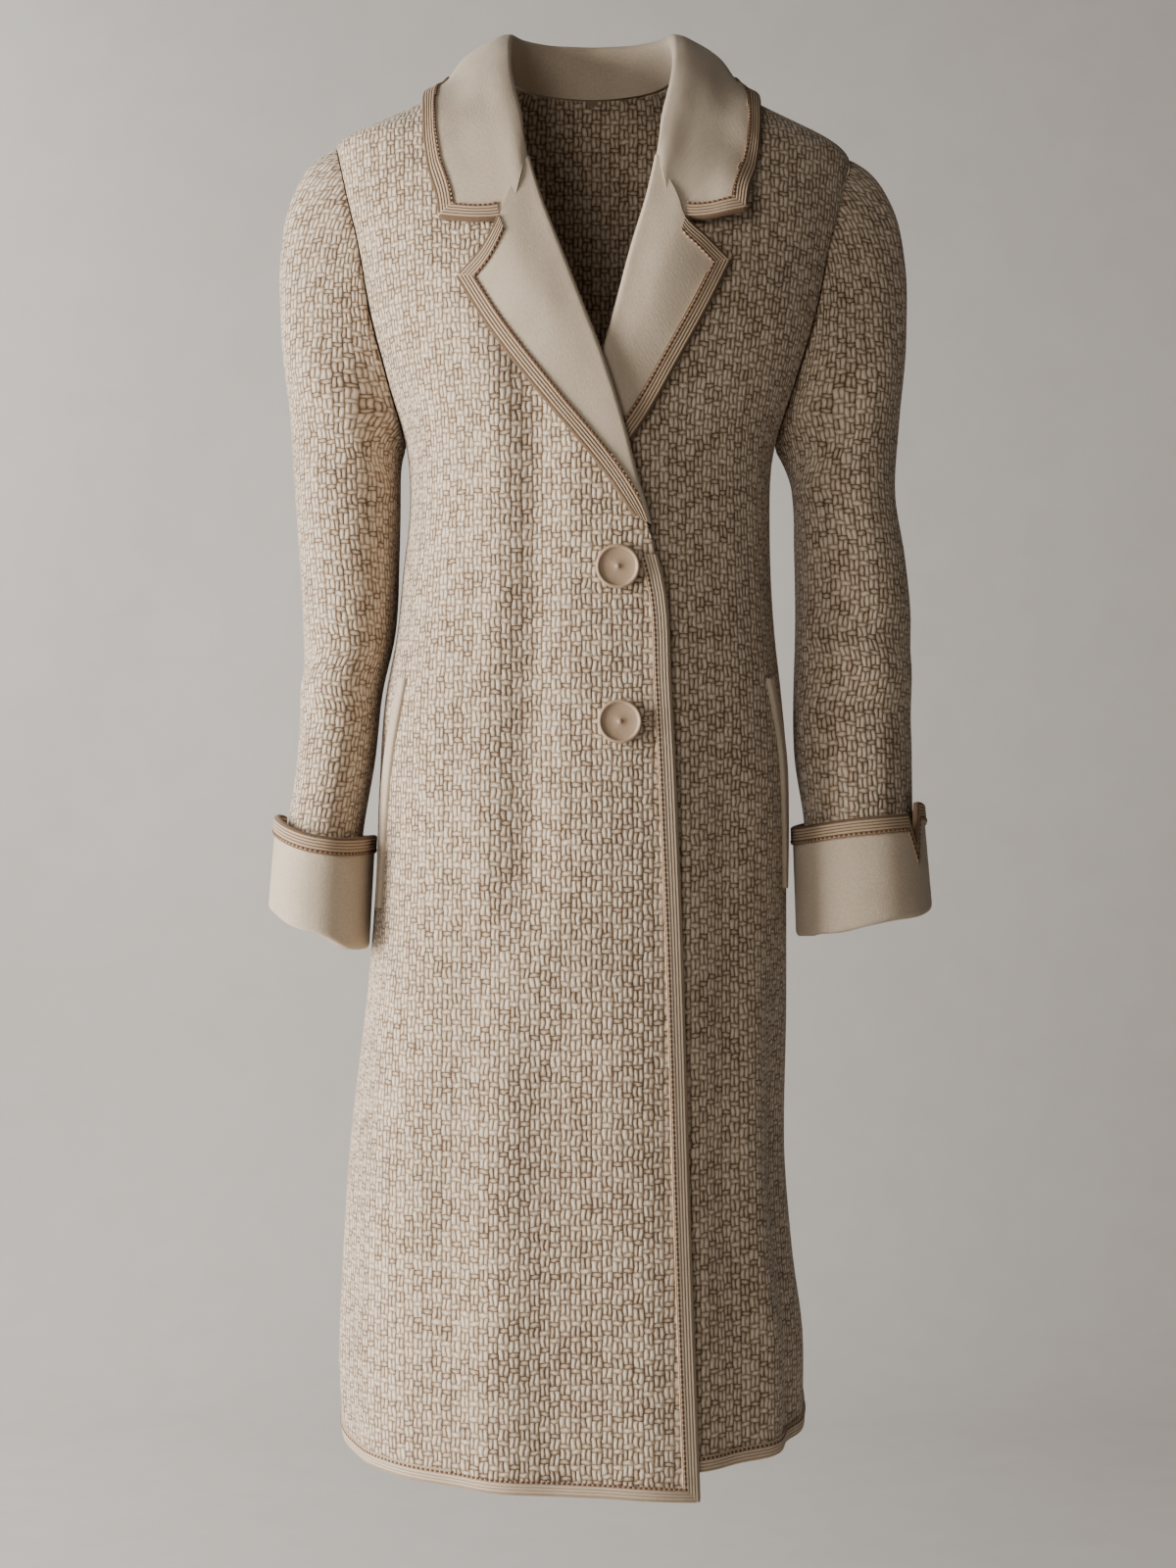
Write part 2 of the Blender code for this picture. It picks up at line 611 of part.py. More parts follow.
def make_lapel(name):
    data = LAPELS[name]
    side = data["side"]
    table = EDGE_RIGHT if side < 0 else EDGE_LEFT
    low, high = data["roll"]
    steps = np.linspace(0, 1, LAPEL_ROWS)
    roll_z = low + (high - low) * steps
    left = np.stack([smooth(table, roll_z), roll_z], axis=-1)
    right = along(data["outer"], steps)
    top = along((tuple(left[-1]), *data["top"][1:]), np.linspace(0, 1, LAPEL_ACROSS))
    bottom = left[0] + (right[0] - left[0]) * np.linspace(0, 1, LAPEL_ACROSS)[:, None]
    flat = coons(bottom, top, left, right)
    flat = inset_edge(flat)
    x, z = flat[..., 0], flat[..., 1]
    angles = angle_at(x, z)
    u = np.linspace(0, 1, x.shape[1])[None, :]
    v = steps[:, None]
    belly = LAPEL_BELLY * np.sin(math.pi * u) ** 2 * ease(v, 0.35, 0.75) * (1 - 0.5 * v)
    out = LAPEL_RISE + LEAF + belly + lap_depth(angles, z, side)
    outer, inner, normals = panel_sheet(angles, z, out, LEAF)
    curl_out, curl_in = roll_columns(outer, normals)
    sheet = (np.concatenate((curl_out, outer), axis=1), np.concatenate((curl_in, inner), axis=1))
    wall("lapel_" + name, [sheet], "cream")
    rows, columns = x.shape
    pairs = [((r, -1), (r, -2)) for r in range(0, rows - 1)]
    pairs.append(((rows - 1, -1), (rows - 2, -2)))
    pairs += [((rows - 1, c), (rows - 2, c)) for c in range(columns - 2, 2, -1)]
    binding("binding_lapel_" + name, edge_stations(outer, inner, normals, pairs))


def inset_edge(flat):
    """Places the last-but-one column and row a tape's width in from the edge."""
    rows, columns = flat.shape[:2]
    for r in range(rows):
        steps = np.linalg.norm(np.diff(flat[r], axis=0), axis=1)
        length = np.concatenate(([0.0], np.cumsum(steps)))
        inset = min(EDGE_TAPE, length[-1] * 0.45)
        wanted = np.append(np.linspace(0, length[-1] - inset, columns - 1), length[-1])
        flat[r] = np.stack([np.interp(wanted, length, flat[r, :, k]) for k in (0, 1)], axis=-1)
    for c in range(1, columns):
        span = flat[-3, c] - flat[-1, c]
        flat[-2, c] = flat[-1, c] + span * EDGE_TAPE / np.linalg.norm(span)
    flat[-2, 0] = (flat[-1, 0] + flat[-3, 0]) / 2
    return flat


def roll_columns(outer, normals):
    """The lapel's inner edge curling round the roll line towards the front's cloth."""
    away = unit(outer[:, 0] - outer[:, 1])
    normal = normals[:, 0]
    away = unit(away - normal * np.sum(away * normal, axis=-1, keepdims=True))
    out_columns = [outer[:, 0] + away * a + normal * b for a, b in ROLL_OUT]
    in_columns = [outer[:, 0] + away * a + normal * b for a, b in ROLL_IN]
    return np.stack(out_columns, axis=1), np.stack(in_columns, axis=1)


# ---------------------------------------------------------------- collar
def lifted(points, clear):
    """Points moved out of the body form until they are `clear` above it."""
    points = points.copy()
    for _ in range(12):
        x, y, z = points[..., 0], points[..., 1], points[..., 2]

        def level(px, py, pz):
            width = np.where(px < 0, half_width(-1, pz), half_width(1, pz))
            depth = np.where(py < 0, smooth(RINGS, pz, AHEAD), smooth(RINGS, pz, BEHIND))
            return ((np.abs(px) / width) ** ROUND + (np.abs(py) / depth) ** ROUND) ** (1 / ROUND)

        tiny = 1e-4
        here = level(x, y, z)
        slope = np.stack([(level(x + tiny, y, z) - level(x - tiny, y, z)),
                          (level(x, y + tiny, z) - level(x, y - tiny, z)),
                          (level(x, y, z + tiny) - level(x, y, z - tiny))], axis=-1) / (2 * tiny)
        steep = np.linalg.norm(slope, axis=-1)
        away = (here - 1) / steep
        need = np.clip(clear - away, 0, 0.01)
        points += slope / steep[..., None] * need[..., None]
    return points


def collar_seat(at, side):
    """Point, normal and free direction of the neckline edge that the collar stands on."""
    if at < COLLAR_FRONT:
        z = LAPELS["left"]["roll"][1] * (1 - at / COLLAR_FRONT) ** 1.6
        angle = angle_at(smooth(EDGE_RIGHT if side < 0 else EDGE_LEFT, z), z)
    else:
        share = (at - COLLAR_FRONT) / (1 - COLLAR_FRONT)
        angle = side * (0.5 + 0.5 * share) * math.pi
        z = NECK_Z - NECK_DROP * share
    point, normal = form(angle, z), form_normal(angle, z)
    ahead = form(angle - side * 0.05, z) - point
    free = unit(ahead - normal * np.dot(ahead, normal))
    return point, normal, unit(free * (1 - ease(at, 0.2, 0.5)) + UP * (0.02 + ease(at, 0.2, 0.5)))


def collar_section(at, side):
    """Outer and inner points across the collar at one place: stand, fold and fall."""
    row = np.array([smooth(COLLAR, at, c) for c in range(1, 7)])
    fold, edge = row[:3] * (side, 1, 1), row[3:] * (side, 1, 1)
    seat, seat_normal, free = collar_seat(at, side)
    over = float(ease(at, 0.02, 0.40))
    level = unit(seat_normal * (1 - over) + UP * over)
    top = (seat + seat_normal * (LAPEL_RISE + LEAF)) * (1 - over) + fold * over
    top = top + level * COLLAR_LOFT * math.sin(math.pi * over)
    outward = edge - top
    outward = unit(outward - level * np.dot(outward, level))
    crest, crest_in, turn, turn_in = [top + outward * a + level * b
                                      for a, b in (CREST_OUT, CREST_IN, TURN_OUT, TURN_IN)]
    rise = FOOT_RISE + FOOT_RISE_SIDE * (1 - float(ease(at, COLLAR_FRONT, 0.6)))
    across = unit(seat_normal * (1 - over) + seat_normal * (1, 1, 0) * over)
    base = (seat + free * FOOT_OUT + seat_normal * FOOT_SINK) * (1 - over)
    base = base + (seat + free * rise - across * FOOT_THICK) * over
    base_in = (seat + free * FOOT_IN + seat_normal * FOOT_SINK) * (1 - over)
    base_in = base_in + (seat + free * rise + across * FOOT_SHIFT) * over
    outer = [base, (base + turn) / 2, turn, crest, top]
    inner = [base_in, (base_in + turn_in) / 2, turn_in, crest_in, top - level * LEAF]
    span = edge - top
    tape_share = 1 - EDGE_TAPE / np.linalg.norm(span)
    belly = float(smooth(COLLAR_BELLY, at))
    side_out = unit(np.cross(np.cross(span, level), span))
    for share in (*(part * tape_share for part in FALL_SHARES), 1.0):
        outer.append(top + span * share + side_out * belly * math.sin(math.pi * share))
    return np.array(outer), np.array(inner)


def collar_grids():
    """Outer and inner points; rows go round the neck from the right front to the left."""
    steps = np.linspace(0.13, 1.0, COLLAR_STATIONS)
    grids = {}
    for side in (-1, 1):
        sections = [collar_section(at, side) for at in (0.0, 0.06, *steps)]
        outer = np.array([section[0] for section in sections])
        inner = np.array([section[1] for section in sections])
        for r, places in ((0, COLLAR_END), (1, COLLAR_END_IN)):
            for c, (x, z) in zip((4, 5, 6, 7, 8), places):
                if c == 4:
                    x = smooth(EDGE_RIGHT if side < 0 else EDGE_LEFT, z) * side
                x, z = np.array(x * side), np.array(z)
                outer[r, c] = surface(angle_at(x, z), z, np.array(LAPEL_RISE + LEAF + 0.0004))
            shift = outer[r, 4] - sections[r][0][4]
            outer[r, :4] += shift
            inner[r] += shift
        clear = np.full(outer.shape[:2], LEAF + 0.0014)
        clear[:, 7:] = LEAF + TAPE_CLEAR + TAPE + 0.0016
        clear[:, :4] = -0.02
        clear[3:, 4] = -0.02
        outer = lifted(outer, clear)
        grids[side] = (outer, inner)
    outer = np.concatenate((grids[-1][0], grids[1][0][-2::-1]))
    inner_start = np.concatenate((grids[-1][1], grids[1][1][-2::-1]))
    around = np.zeros_like(outer)
    around[1:-1] = outer[2:] - outer[:-2]
    around[0], around[-1] = outer[1] - outer[0], outer[-1] - outer[-2]
    across = np.zeros_like(outer)
    across[:, 1:-1] = outer[:, 2:] - outer[:, :-2]
    across[:, -1] = outer[:, -1] - outer[:, -2]
    across[:, 0] = outer[:, 1] - outer[:, 0]
    normals = unit(np.cross(around, across))
    if normals[len(normals) // 2, -1][1] < 0:
        normals = -normals
    inner = outer - normals * LEAF
    inner[:, :5] = inner_start
    return outer, inner, normals


def make_collar():
    outer, inner, normals = collar_grids()
    wall("collar", [(outer, inner)], "cream")
    rows, columns = outer.shape[:2]
    pairs = [((0, c), (1, c)) for c in range(5, columns - 1)]
    pairs.append(((0, columns - 1), (1, columns - 2)))
    pairs += [((r, columns - 1), (r, columns - 2)) for r in range(1, rows - 1)]
    pairs.append(((rows - 1, columns - 1), (rows - 2, columns - 2)))
    pairs += [((rows - 1, c), (rows - 2, c)) for c in range(columns - 2, 4, -1)]
    binding("binding_collar", edge_stations(outer, inner, normals, pairs))


# ---------------------------------------------------------------- sleeves and cuffs
def armhole_loop(side):
    """Points round the armhole, from the shoulder tip forwards, underarm and back."""
    turn = np.linspace(0, 2 * math.pi, SLEEVE_AROUND, endpoint=False)
    z = TIP_Z[side] + (UNDERARM_Z - TIP_Z[side]) * (1 - np.cos(turn)) / 2
    half = np.where(np.sin(turn) > 0, ARMHOLE_HALF["front"], ARMHOLE_HALF["back"])
    y = -np.sin(turn) * half
    angle = angle_beside(y, z, side)
    return turn, form(angle, z), form_normal(angle, z)


def sleeve_section(side, z, turn):
    x, y, half_x, half_y = [smooth(SLEEVES[side], z, c) for c in range(1, 5)]
    power = 2 / 2.2
    out, ahead = np.cos(turn), np.sin(turn)
    px = x + side * half_x * np.sign(out) * np.abs(out) ** power
    py = y - half_y * np.sign(ahead) * np.abs(ahead) ** power
    return np.stack([px, py, np.full_like(px, z)], axis=-1)


def sleeve_grid(side):
    turn, ring, ring_normal = armhole_loop(side)
    top_share = np.clip(np.cos(turn), 0, 1)[:, None]
    low_share = np.clip(-np.cos(turn), 0, 1)[:, None]
    outward = np.array([side, 0.0, 0.0])
    tangent = unit(outward * (0.55 + 0.45 * top_share) + np.array([0.0, 0.0, -1.0])
                   * (0.75 - 0.30 * top_share))
    start = ring + outward * SEAM_GAP * 3 + np.array([0, 0, -1]) * SEAM_GAP * 2 * low_share
    first_z = SLEEVES[side][0][0]
    end = sleeve_section(side, first_z, turn)
    reach = np.linalg.norm(end - start, axis=-1, keepdims=True)
    rows = []
    for t in np.linspace(0, 1, CAP_ROWS + 1)[:-1] ** 1.35:
        pull = reach * (0.75 + 0.15 * top_share)
        down = np.array([0.0, 0.0, -1.0]) * reach * 0.9
        rows.append((1 + 2 * t) * (1 - t) ** 2 * start + t * (1 - t) ** 2 * tangent * pull
                    + t * t * (3 - 2 * t) * end + t * t * (t - 1) * down)
    for z in [row[0] for row in SLEEVES[side][:-1]]:
        rows.append(sleeve_section(side, z, turn))
    rows.append(sleeve_section(side, cuff_edge(side, "bottom", turn) + SLEEVE_END, turn))
    return np.array(rows)


def ring_normals(grid):
    around = np.roll(grid, -1, axis=1) - np.roll(grid, 1, axis=1)
    along_rows = np.zeros_like(grid)
    along_rows[1:-1] = grid[2:] - grid[:-2]
    along_rows[0], along_rows[-1] = grid[1] - grid[0], grid[-1] - grid[-2]
    normals = unit(np.cross(around, along_rows))
    centre = grid.mean(axis=1, keepdims=True)
    if np.sum(normals[-1] * (grid - centre)[-1]) < 0:
        normals = -normals
    return normals


def make_sleeve(side):
    """Top sleeve and under sleeve, which meet at a front and a back seam."""
    grid = sleeve_grid(side)
    inner = grid - ring_normals(grid) * WOOL
    top = [c % SLEEVE_AROUND for c in range(BACK_SEAM, FRONT_SEAM + SLEEVE_AROUND + 1)]
    under = list(range(FRONT_SEAM, BACK_SEAM + 1))
    for name, columns in (("sleeve_top_", top), ("sleeve_under_", under)):
        out_part, in_part = grid[:, columns].copy(), inner[:, columns].copy()
        for part in (out_part, in_part):
            for edge, beside in ((0, 1), (-1, -2)):
                part[:, edge] += unit(part[:, beside] - part[:, edge]) * SEAM_GAP / 2
        wall(name + ("right" if side < 0 else "left"), [(out_part, in_part)], "wool")


def cuff_edge(side, which, turn):
    """Height of a cuff's edge; turn 0 is the outer side and 90 degrees the front."""
    cuff = CUFFS[side]
    outer = np.cos(turn)
    if which == "bottom":
        return cuff["bottom_z"] + cuff["bottom_tilt"] * outer
    z = cuff["top_z"] + cuff["top_tilt"] * outer
    apart = np.degrees(turn) - (90.0 - cuff["vent"])
    apart = (apart + 180.0) % 360.0 - 180.0
    z = z - VENT_DEPTH * np.clip(1 - np.abs(apart) / VENT_HALF, 0, 1)
    behind = ease(-apart, 0.0, VENT_HALF) * (1 - ease(-apart, VENT_HALF, 70.0))
    return z + FLAP_RISE * behind


def cuff_point(side, turn, z, out):
    cuff = CUFFS[side]
    share = (z - cuff["bottom_z"]) / (cuff["top_z"] - cuff["bottom_z"])
    x, y, half_x, half_y = [b + (t - b) * share for t, b in zip(cuff["top"], cuff["bottom"])]
    power = 2 / 2.2
    c, s = np.cos(turn), np.sin(turn)
    px = x + side * (half_x + out) * np.sign(c) * np.abs(c) ** power
    py = y - (half_y + out) * np.sign(s) * np.abs(s) ** power
    return np.stack([px, py, z + 0 * px], axis=-1)


def make_cuff(side):
    name = "right" if side < 0 else "left"
    vent = math.radians(90.0 - CUFFS[side]["vent"])
    turn = vent + np.linspace(0, 2 * math.pi, CUFF_AROUND, endpoint=False)
    narrow = math.radians(VENT_HALF)
    turn[1], turn[-1] = vent + narrow, vent + 2 * math.pi - narrow
    top = cuff_edge(side, "top", turn)
    low = cuff_edge(side, "bottom", turn)
    outer_rows = [cuff_point(side, turn, top, 0.0)]
    outer_rows.append(cuff_point(side, turn, top - EDGE_TAPE, 0.0))
    for share in (0.5, 0.0):
        level = low + CUFF_FOLD * 2 + (top - EDGE_TAPE - low - CUFF_FOLD * 2) * share
        outer_rows.append(cuff_point(side, turn, level, 0.0))
    outer_rows.append(cuff_point(side, turn, low, -CUFF_FOLD))
    depth_in = CUFF_WALL + 0.0109
    outer_rows.append(cuff_point(side, turn, low, -depth_in))
    outer_rows.append(cuff_point(side, turn, low + CUFF_FOLD * 2, -depth_in - CUFF_FOLD))
    outer_rows.append(cuff_point(side, turn, low + 0.026, -depth_in - CUFF_FOLD))
    inner_rows = [cuff_point(side, turn, top, -CUFF_WALL)]
    inner_rows.append(cuff_point(side, turn, top - EDGE_TAPE, -CUFF_WALL))
    level = low + CUFF_FOLD * 2 + (top - EDGE_TAPE - low - CUFF_FOLD * 2) * 0.5
    inner_rows.append(cuff_point(side, turn, level, -CUFF_WALL))
    inner_rows.append(cuff_point(side, turn, low + CUFF_FOLD * 2, -CUFF_WALL))
    inner_rows.append(cuff_point(side, turn, low + CUFF_WALL, -CUFF_WALL - CUFF_FOLD * 0.6))
    inner_rows.append(cuff_point(side, turn, low + CUFF_WALL, -depth_in))
    inner_rows.append(cuff_point(side, turn, low + CUFF_FOLD * 2, -depth_in - CUFF_FOLD + CUFF_WALL))
    inner_rows.append(cuff_point(side, turn, low + 0.026, -depth_in - CUFF_FOLD + CUFF_WALL))
    outer, inner = np.array(outer_rows), np.array(inner_rows)
    wall("cuff_" + name, [(outer, inner)], "cream", wrap=True)
    normals = unit(outer[:2] - inner[:2])
    stations = [(outer[0, c], inner[0, c], outer[1, c], inner[1, c], normals[0, c], normals[1, c])
                for c in range(CUFF_AROUND)]
    binding("binding_cuff_" + name, stations, closed=True)


# ---------------------------------------------------------------- pockets and buttons
def make_welt(name, table, side):
    rows = 12
    z = np.linspace(table[0][0], table[-1][0], rows)
    x = smooth(table, z)
    angle = angle_at(x, z)
    here = surface(angle, z)
    per_angle = np.linalg.norm(surface(angle + 0.05 * side, z) - here, axis=-1) / 0.05
    width = WELT_WIDTH * np.sin(math.pi * np.clip(np.linspace(0.08, 0.92, rows), 0, 1)) ** 0.3
    shares = np.array([0.0, 0.5, 1.0])
    angles = angle[:, None] + side * shares[None, :] * (width / per_angle)[:, None]
    heights = np.repeat(z[:, None], 3, axis=1)
    out = np.full(angles.shape, SEAM_GAP * 2.5 + WELT_THICK)
    out = out + lap_depth(angles, heights, side)
    outer, inner, _ = panel_sheet(angles, heights, out, WELT_THICK)
    wall(name, [(outer, inner)], "cream")


def make_button(name, x, z):
    """Turned disc with a raised rim and a small raised dot, its back just off the cloth."""
    profile = ((0.0, 0.0), (0.62, 0.0), (0.90, 0.10), (1.0, 0.42), (0.985, 0.78), (0.92, 1.0),
               (0.84, 0.96), (0.76, 0.66), (0.40, 0.60), (0.13, 0.60), (0.10, 0.80), (0.0, 0.84))
    around = 20
    angle = angle_at(np.array(x), np.array(z))
    normal = form_normal(angle, np.array(z))
    seat = surface(angle, np.array(z), np.array(SEAM_GAP * 3))
    side = unit(np.cross(np.array([0.0, 0.0, 1.0]), normal))
    up = np.cross(normal, side)
    points, faces = [seat + normal * 0.0], []
    rings = profile[1:-1]
    for r, h in rings:
        for k in range(around):
            t = 2 * math.pi * k / around
            points.append(seat + (side * math.cos(t) + up * math.sin(t)) * r * BUTTON_RADIUS
                          + normal * h * BUTTON_HEIGHT)
    points.append(seat + normal * profile[-1][1] * BUTTON_HEIGHT)
    for k in range(around):
        n = (k + 1) % around
        faces.append((0, 1 + n, 1 + k))
        for r in range(len(rings) - 1):
            a, b = 1 + r * around, 1 + (r + 1) * around
            faces.append((a + k, a + n, b + n, b + k))
        last = 1 + (len(rings) - 1) * around
        faces.append((last + k, last + n, len(points) - 1))
    solid(name, points, faces, "button")


def clear_scene():
    for thing in list(bpy.data.objects):
        bpy.data.objects.remove(thing)


def main():
    clear_scene()
    for side in (-1, 1):
        make_front(side)
    make_back()
    for side in (-1, 1):
        make_sleeve(side)
        make_cuff(side)
    make_collar()
    for name in LAPELS:
        make_lapel(name)
    make_welt("welt_right", WELT_RIGHT, -1)
    make_welt("welt_left", WELT_LEFT, 1)
    for name, (x, z) in BUTTONS.items():
        make_button(name, x, z)


main()
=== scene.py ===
"""Looks of the long single-breasted wool coat: cloth, tape, stitching, light and camera.

Metres, +Z up.  The front faces -Y and the wearer's right is at -X.  The body form and the
main sizes are those of the part's source, worked out on finer grids and with the grain of
the cloth as UVs.  Lapel tops, roll lines, the cuffs' edges, the front's relief and the side
seams differ from their solids by some millimetres, the collar's left front end by up to 11.
"""
import math

import bpy
import mathutils
import numpy as np
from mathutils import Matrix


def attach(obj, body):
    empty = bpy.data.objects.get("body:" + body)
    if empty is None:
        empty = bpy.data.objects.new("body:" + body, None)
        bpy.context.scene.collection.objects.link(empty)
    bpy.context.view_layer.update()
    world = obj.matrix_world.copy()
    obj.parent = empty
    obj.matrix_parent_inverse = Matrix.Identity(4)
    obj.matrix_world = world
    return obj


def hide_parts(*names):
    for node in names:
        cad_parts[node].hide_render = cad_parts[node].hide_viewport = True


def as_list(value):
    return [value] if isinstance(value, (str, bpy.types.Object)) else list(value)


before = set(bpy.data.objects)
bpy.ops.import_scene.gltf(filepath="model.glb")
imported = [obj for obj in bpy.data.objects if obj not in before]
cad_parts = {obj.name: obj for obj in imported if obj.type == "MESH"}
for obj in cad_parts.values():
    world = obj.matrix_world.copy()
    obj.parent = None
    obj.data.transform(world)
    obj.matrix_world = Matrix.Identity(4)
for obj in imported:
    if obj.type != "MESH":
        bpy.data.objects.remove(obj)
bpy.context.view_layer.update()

# ---------------------------------------------------------------- driving dimensions
SEAM_GAP = 0.0003         # between pieces that meet at a seam
WOOL = 0.0025             # thickness of the basket-weave wool
LEAF = 0.0030             # thickness of collar and lapel, wool and facing together
CUFF_WALL = 0.0022        # thickness of the turned-back cuff
TAPE = 0.0008             # thickness of the binding tape
TAPE_CLEAR = 0.0004       # air between tape and cloth
EDGE_TAPE = 0.012         # visible width of tape on collar, lapels, fronts and cuffs
HEM_TAPE = 0.010          # visible width of tape along the hem
ROUND = 2.4               # exponent of the ring outline, 2 is an ellipse

TIP_Z = {-1: -0.0595, 1: -0.0690}      # height of the shoulder tips, wearer's right and left
UNDERARM_Z = -0.297
ARMHOLE_HALF = {"front": 0.052, "back": 0.056}
NECK_Z = 0.0
NECK_DROP = 0.004         # how far the neckline drops at the centre back
SIDE_ROW = 0.60           # share of a panel's rows below the underarm
NECK_ROW = 0.76           # share of the back's rows below its neckline
TOP_CROWD = 1.33          # how much a front's rows crowd towards the shoulder seam

LAPEL_RISE = 0.0022       # air between a lapel and the front it lies on
COLLAR_OVER = 0.0004      # how far the collar's front end lies above the lapel's top
LAPEL_BELLY = 0.0050      # how far the middle of a lapel stands up
BUTTON_RADIUS = 0.0165
BUTTON_HEIGHT = 0.0045
CUFF_FOLD = 0.0024        # half the thickness of the fold at a cuff's lower edge

# Rings of the body form: half widths to the wearer's right and left, depth to the
# front and to the back, all from the origin's axis.
# Columns: z, right, left, front, back.
RINGS = (
    (0.030, 0.0600, 0.0600, 0.058, 0.066),
    (0.000, 0.0680, 0.0680, 0.060, 0.076),
    (-0.020, 0.1120, 0.1090, 0.066, 0.088),
    (-0.040, 0.1560, 0.1500, 0.076, 0.093),
    (-0.065, 0.2010, 0.1960, 0.090, 0.102),
    (-0.100, 0.1990, 0.2010, 0.106, 0.113),
    (-0.150, 0.1890, 0.1920, 0.122, 0.124),
    (-0.200, 0.1780, 0.1800, 0.133, 0.129),
    (-0.250, 0.1610, 0.1610, 0.139, 0.127),
    (-0.297, 0.1450, 0.1430, 0.140, 0.124),
    (-0.340, 0.1420, 0.1390, 0.136, 0.120),
    (-0.400, 0.1480, 0.1400, 0.127, 0.117),
    (-0.445, 0.1525, 0.1430, 0.125, 0.117),
    (-0.490, 0.1610, 0.1480, 0.126, 0.120),
    (-0.560, 0.1660, 0.1530, 0.130, 0.127),
    (-0.640, 0.1690, 0.1520, 0.136, 0.133),
    (-0.720, 0.1750, 0.1520, 0.141, 0.138),
    (-0.830, 0.1870, 0.1500, 0.146, 0.142),
    (-0.920, 0.1920, 0.1560, 0.150, 0.146),
    (-1.000, 0.1950, 0.1650, 0.153, 0.150),
    (-1.090, 0.1880, 0.1640, 0.156, 0.152),
)

# Soft vertical folds of the skirt and body: centre and half width as degrees round the
# body from the front centre, depth outwards, and the heights where they start and are full.
# Columns: angle, half width, depth, height of the start, height where full.
FOLDS = (
    (-27.0, 9.0, -0.0030, -0.20, -0.45),
    (-46.0, 10.0, 0.0030, -0.35, -0.80),
    (-12.0, 8.0, 0.0025, -0.70, -1.00),
    (2.0, 7.0, -0.0030, -0.75, -1.00),
    (66.0, 7.0, -0.0060, -0.62, -0.84),
    (52.0, 8.0, 0.0040, -0.62, -0.84),
    (-74.0, 9.0, 0.0040, -0.70, -0.95),
    (104.0, 10.0, 0.0045, -0.55, -0.95),
    (128.0, 11.0, -0.0050, -0.50, -0.90),
    (152.0, 10.0, 0.0045, -0.55, -0.95),
    (-104.0, 10.0, 0.0040, -0.60, -0.95),
    (-130.0, 12.0, -0.0050, -0.50, -0.90),
    (-154.0, 10.0, 0.0045, -0.55, -0.95),
)

# Free edge of each front, from the hem up the front edge and then up the roll line.
# Columns: z, x.
EDGE_RIGHT = (
    (-1.090, 0.0780),
    (-0.900, 0.0715),
    (-0.640, 0.0640),
    (-0.490, 0.0575),
    (-0.410, 0.0520),
    (-0.383, 0.0450),
    (-0.345, 0.0330),
    (-0.302, 0.0225),
    (-0.243, 0.0040),
    (-0.205, -0.0105),
    (-0.166, -0.0250),
    (-0.129, -0.0385),
    (-0.088, -0.0500),
    (-0.045, -0.0590),
    (0.000, -0.0680),
)
EDGE_LEFT = (
    (-1.090, 0.0060),
    (-0.700, -0.0010),
    (-0.410, -0.0080),
    (-0.345, -0.0080),
    (-0.302, -0.0030),
    (-0.258, 0.0065),
    (-0.205, 0.0205),
    (-0.166, 0.0305),
    (-0.126, 0.0420),
    (-0.088, 0.0500),
    (-0.045, 0.0590),
    (0.000, 0.0680),
)
BREAK_Z = {-1: -0.380, 1: -0.352}      # where each front edge turns into its roll line

# How deep the left front lies under the right one.
# Columns: z, depth.
LAP = (
    (-1.090, 0.0065),
    (-0.480, 0.0065),
    (-0.380, 0.0105),
    (-0.260, 0.0105),
    (-0.180, 0.0030),
    (-0.120, 0.0000),
    (0.030, 0.0000),
)

# Height of the hem round the body, by degrees from the front centre.
# Columns: angle, z.
HEM = (
    (-180.0, -1.066),
    (-135.0, -1.060),
    (-100.0, -1.048),
    (-88.0, -1.050),
    (-70.0, -1.064),
    (-45.0, -1.071),
    (0.0, -1.079),
    (32.0, -1.086),
)
HEM_LEFT = (
    (0.0, -1.066),
    (40.0, -1.062),
    (75.0, -1.056),
    (100.0, -1.050),
    (135.0, -1.060),
    (180.0, -1.066),
)

# Outline of each lapel seen from the front.  "outer" runs from the break up to the tip,
# "top" from the roll line down the gorge seam and out along the upper edge to the tip.
# Columns: x, z.
LAPELS = {
    "right": {
        "side": -1,
        "outer": ((0.0320, -0.3620), (0.0115, -0.3320), (-0.0320, -0.2790),
                  (-0.0755, -0.2210), (-0.0975, -0.1850)),
        "top": ((-0.0490, -0.0945), (-0.0632, -0.1270), (-0.0676, -0.1420),
                (-0.0800, -0.1660), (-0.0975, -0.1850)),
        "roll": (-0.3660, -0.0945),
    },
    "left": {
        "side": 1,
        "outer": ((-0.0020, -0.3500), (0.0080, -0.3320), (0.0250, -0.3100),
                  (0.0410, -0.2870), (0.0620, -0.2500), (0.0840, -0.2080), (0.1010, -0.1720)),
        "top": ((0.0490, -0.0945), (0.0632, -0.1270), (0.0676, -0.1420),
                (0.0830, -0.1560), (0.1010, -0.1720)),
        "roll": (-0.3420, -0.0945),
    },
}

